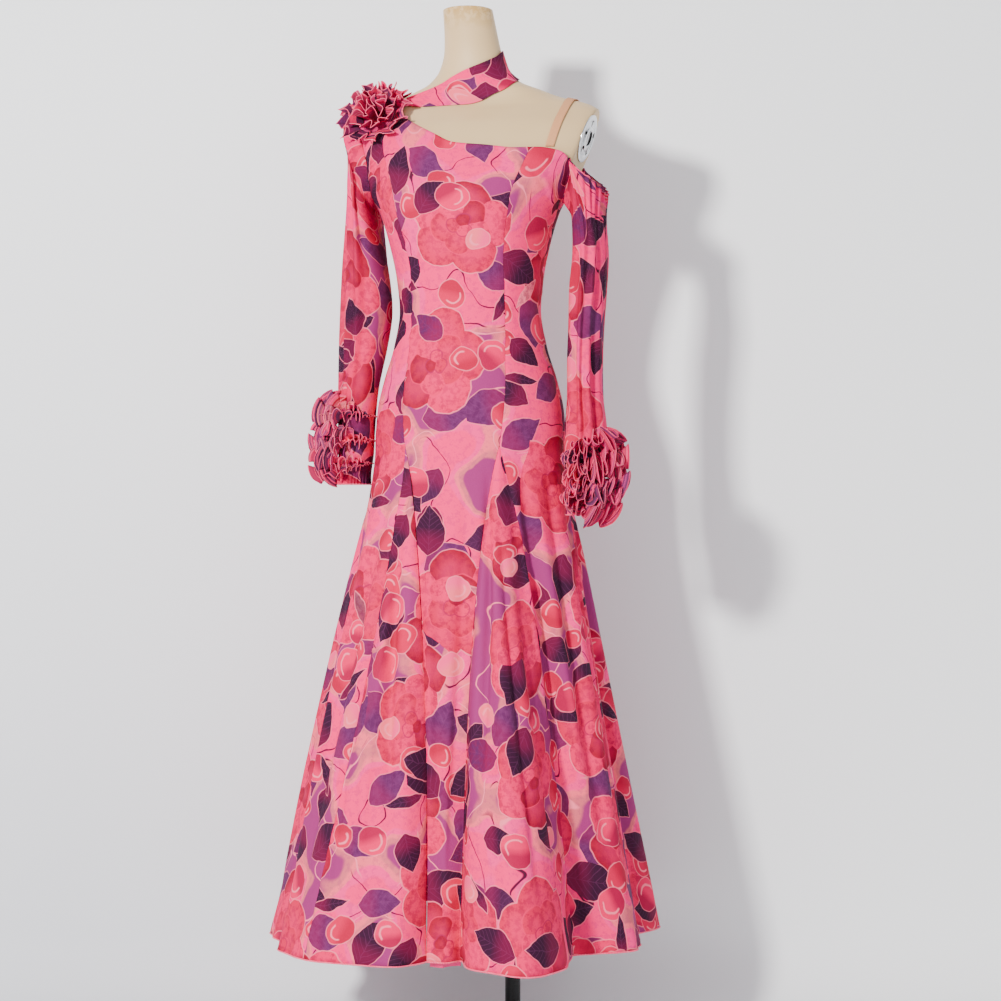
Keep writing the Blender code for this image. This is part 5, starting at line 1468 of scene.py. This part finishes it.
class DRESS_OT_stand(Operator):
    """The black pole and the round base under the form"""

    bl_idname = "dress.stand"
    bl_label = "Pole and base"

    def execute(self, context):
        low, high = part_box("pole")
        profile = rounded(((0.0, 0.0), (POLE_RADIUS, 0.0), (POLE_RADIUS, high[2] - low[2]),
                           (0.0, high[2] - low[2])), 0.001)
        turned_solid("pole_tube", profile, (POLE_X, 0.0, low[2]), (0, 0, 1), finish_named("black_metal"),
                     "pole", 48)
        profile = rounded(((0.0, 0.0), (BASE_RADIUS - 0.002, 0.0), (BASE_RADIUS, 0.002),
                           (BASE_RADIUS, BASE_THICKNESS - 0.003), (BASE_RADIUS - 0.003, BASE_THICKNESS),
                           (0.0, BASE_THICKNESS)), 0.0012)
        turned_solid("base_plate", profile, (0.0, 0.0, 0.0), (0, 0, 1), finish_named("black_metal"),
                     "base")
        return {"FINISHED"}


# The photograph's view: which way it looks, in degrees, and where the camera stands.
VIEW_DEG, CAMERA_DISTANCE, CAMERA_HEIGHT, CAMERA_ASIDE = 16.0, 3.6, 0.86, 0.048
LENS, SENSOR = 81.92, 36.0


def view_place(right, ahead, height):
    """A point given across and into the photograph's view, from the middle of the dress."""
    turn = math.radians(VIEW_DEG)
    return Vector((right * math.cos(turn) - ahead * math.sin(turn),
                   right * math.sin(turn) + ahead * math.cos(turn), height))


def add_light(name, place, target, width, power, colour):
    lamp = bpy.data.lights.new(name, "AREA")
    lamp.size, lamp.energy, lamp.color = width, power, colour
    made = bpy.data.objects.new(name, lamp)
    made.location = place
    made.rotation_euler = (target - place).to_track_quat("-Z", "Y").to_euler()
    bpy.context.scene.collection.objects.link(made)


class DRESS_OT_stage(Operator):
    """The pale floor and wall, the lights and the camera"""

    bl_idname = "dress.stage"
    bl_label = "Stage"

    def execute(self, context):
        stage = context.scene.dress_stage
        finish, tree, shader = new_material("stage_paper", 0.95)
        coordinate = node_of(tree, "ShaderNodeTexCoord")
        place = node_of(tree, "ShaderNodeSeparateXYZ", Vector=out_of(coordinate, "Object"))
        turn = math.radians(VIEW_DEG)
        across = out_of(place, 0) * math.cos(turn) + out_of(place, 1) * math.sin(turn)
        # Painted shade: the paper of wall and floor is painted darker towards the left and towards the bottom
        # of the view, standing in for the fall-off of the light.
        painted_wall_shade = across.under(0.1, 1.6) * (out_of(place, 2).under(0.8, 1.6) * 0.75 + 0.25)
        colour_socket(tree, shader, mixed(painted_wall_shade, linear(*PAINTS["wall"]), linear(*PAINTS["wall_painted_shade"])))
        clear = tree.nodes.new("ShaderNodeBsdfTransparent")
        choice = tree.nodes.new("ShaderNodeMixShader")
        tree.links.new(tree.nodes.new("ShaderNodeNewGeometry").outputs["Backfacing"], choice.inputs[0])
        tree.links.new(shader.outputs[0], choice.inputs[1])
        tree.links.new(clear.outputs[0], choice.inputs[2])
        tree.links.new(choice.outputs[0], tree.nodes["Material Output"].inputs[0])
        cove = 0.12
        bend = np.linspace(0, np.pi / 2, 13)
        ahead = np.concatenate([[0.0], cove * np.sin(bend)]) + stage.wall_distance - cove
        height = np.concatenate([[0.0], cove * (1 - np.cos(bend))])
        ahead, height = np.append(ahead, stage.wall_distance), np.append(height, 4.5)
        wide = np.linspace(-4, 4, 5)
        right = np.array([math.cos(turn), math.sin(turn), 0.0])
        into = np.array([-math.sin(turn), math.cos(turn), 0.0])
        wall = (right * wide[None, :, None] + into * ahead[:, None, None]
                + np.array([0, 0, 1.0]) * height[:, None, None])
        wall_object = surface("wall_paper", wall[::-1], cloth_uv(wall, False), finish)
        span = np.linspace(-5, 5, 9)
        floor = np.stack(np.broadcast_arrays(span[None, :], span[::-1][:, None], 0.0), axis=-1)
        floor[..., 2] = -0.0005
        floor_object = surface("floor_paper", floor, cloth_uv(floor, False), finish)

        white, cool = (1.0, 0.985, 0.965), (0.96, 0.98, 1.0)
        target = Vector((0.0, 0.0, 0.95))
        add_light("key", view_place(-1.35, -2.7, 1.75), target, 0.26, stage.key, white)
        add_light("fill", view_place(1.8, -2.6, 1.9), target, 1.6, stage.fill, cool)
        add_light("back fill", view_place(-0.8, 2.8, 2.4), target, 2.0, stage.fill, cool)
        world = bpy.data.worlds.new("soft room")
        world.use_nodes = True
        world.node_tree.nodes["Background"].inputs[0].default_value = (0.93, 0.95, 1.0, 1.0)
        world.node_tree.nodes["Background"].inputs[1].default_value = 0.68
        context.scene.world = world

        camera = bpy.data.cameras.new("view")
        camera.lens, camera.sensor_width = LENS, SENSOR
        made = bpy.data.objects.new("view", camera)
        made.location = view_place(CAMERA_ASIDE, -CAMERA_DISTANCE, CAMERA_HEIGHT)
        made.rotation_euler = (math.pi / 2, 0.0, math.radians(VIEW_DEG))
        context.scene.collection.objects.link(made)
        context.scene.camera = made
        return {"FINISHED"}


STEPS = (DRESS_OT_stage, DRESS_OT_form, DRESS_OT_stand, DRESS_OT_body_panels, DRESS_OT_godets,
         DRESS_OT_lining, DRESS_OT_sleeves, DRESS_OT_rosette, DRESS_OT_choker, DRESS_OT_strap)
GROUPS = (("dress_sizes", DressSizes), ("dress_paints", DressPaints), ("dress_stage", StageSizes))


class DRESS_PT_panel(Panel):
    """Lists the sizes, the colours and the steps"""

    bl_label = "Ballroom practice dress"
    bl_space_type = "VIEW_3D"
    bl_region_type = "UI"
    bl_category = "Dress"

    def draw(self, context):
        for name, group in GROUPS:
            box = self.layout.box()
            for key in group.__annotations__:
                box.prop(getattr(context.scene, name), key)
        for step in STEPS:
            self.layout.operator(step.bl_idname)


def register():
    for group in (*(kind for _, kind in GROUPS), *STEPS, DRESS_PT_panel):
        bpy.utils.register_class(group)
    for name, group in GROUPS:
        setattr(bpy.types.Scene, name, PointerProperty(type=group))


def unregister():
    for name, _ in GROUPS:
        delattr(bpy.types.Scene, name)
    for group in (DRESS_PT_panel, *STEPS, *(kind for _, kind in GROUPS)):
        bpy.utils.unregister_class(group)


def main():
    register()
    for step in STEPS:
        group, name = step.bl_idname.split(".")
        getattr(getattr(bpy.ops, group), name)()


if __name__ == "__main__":
    main()
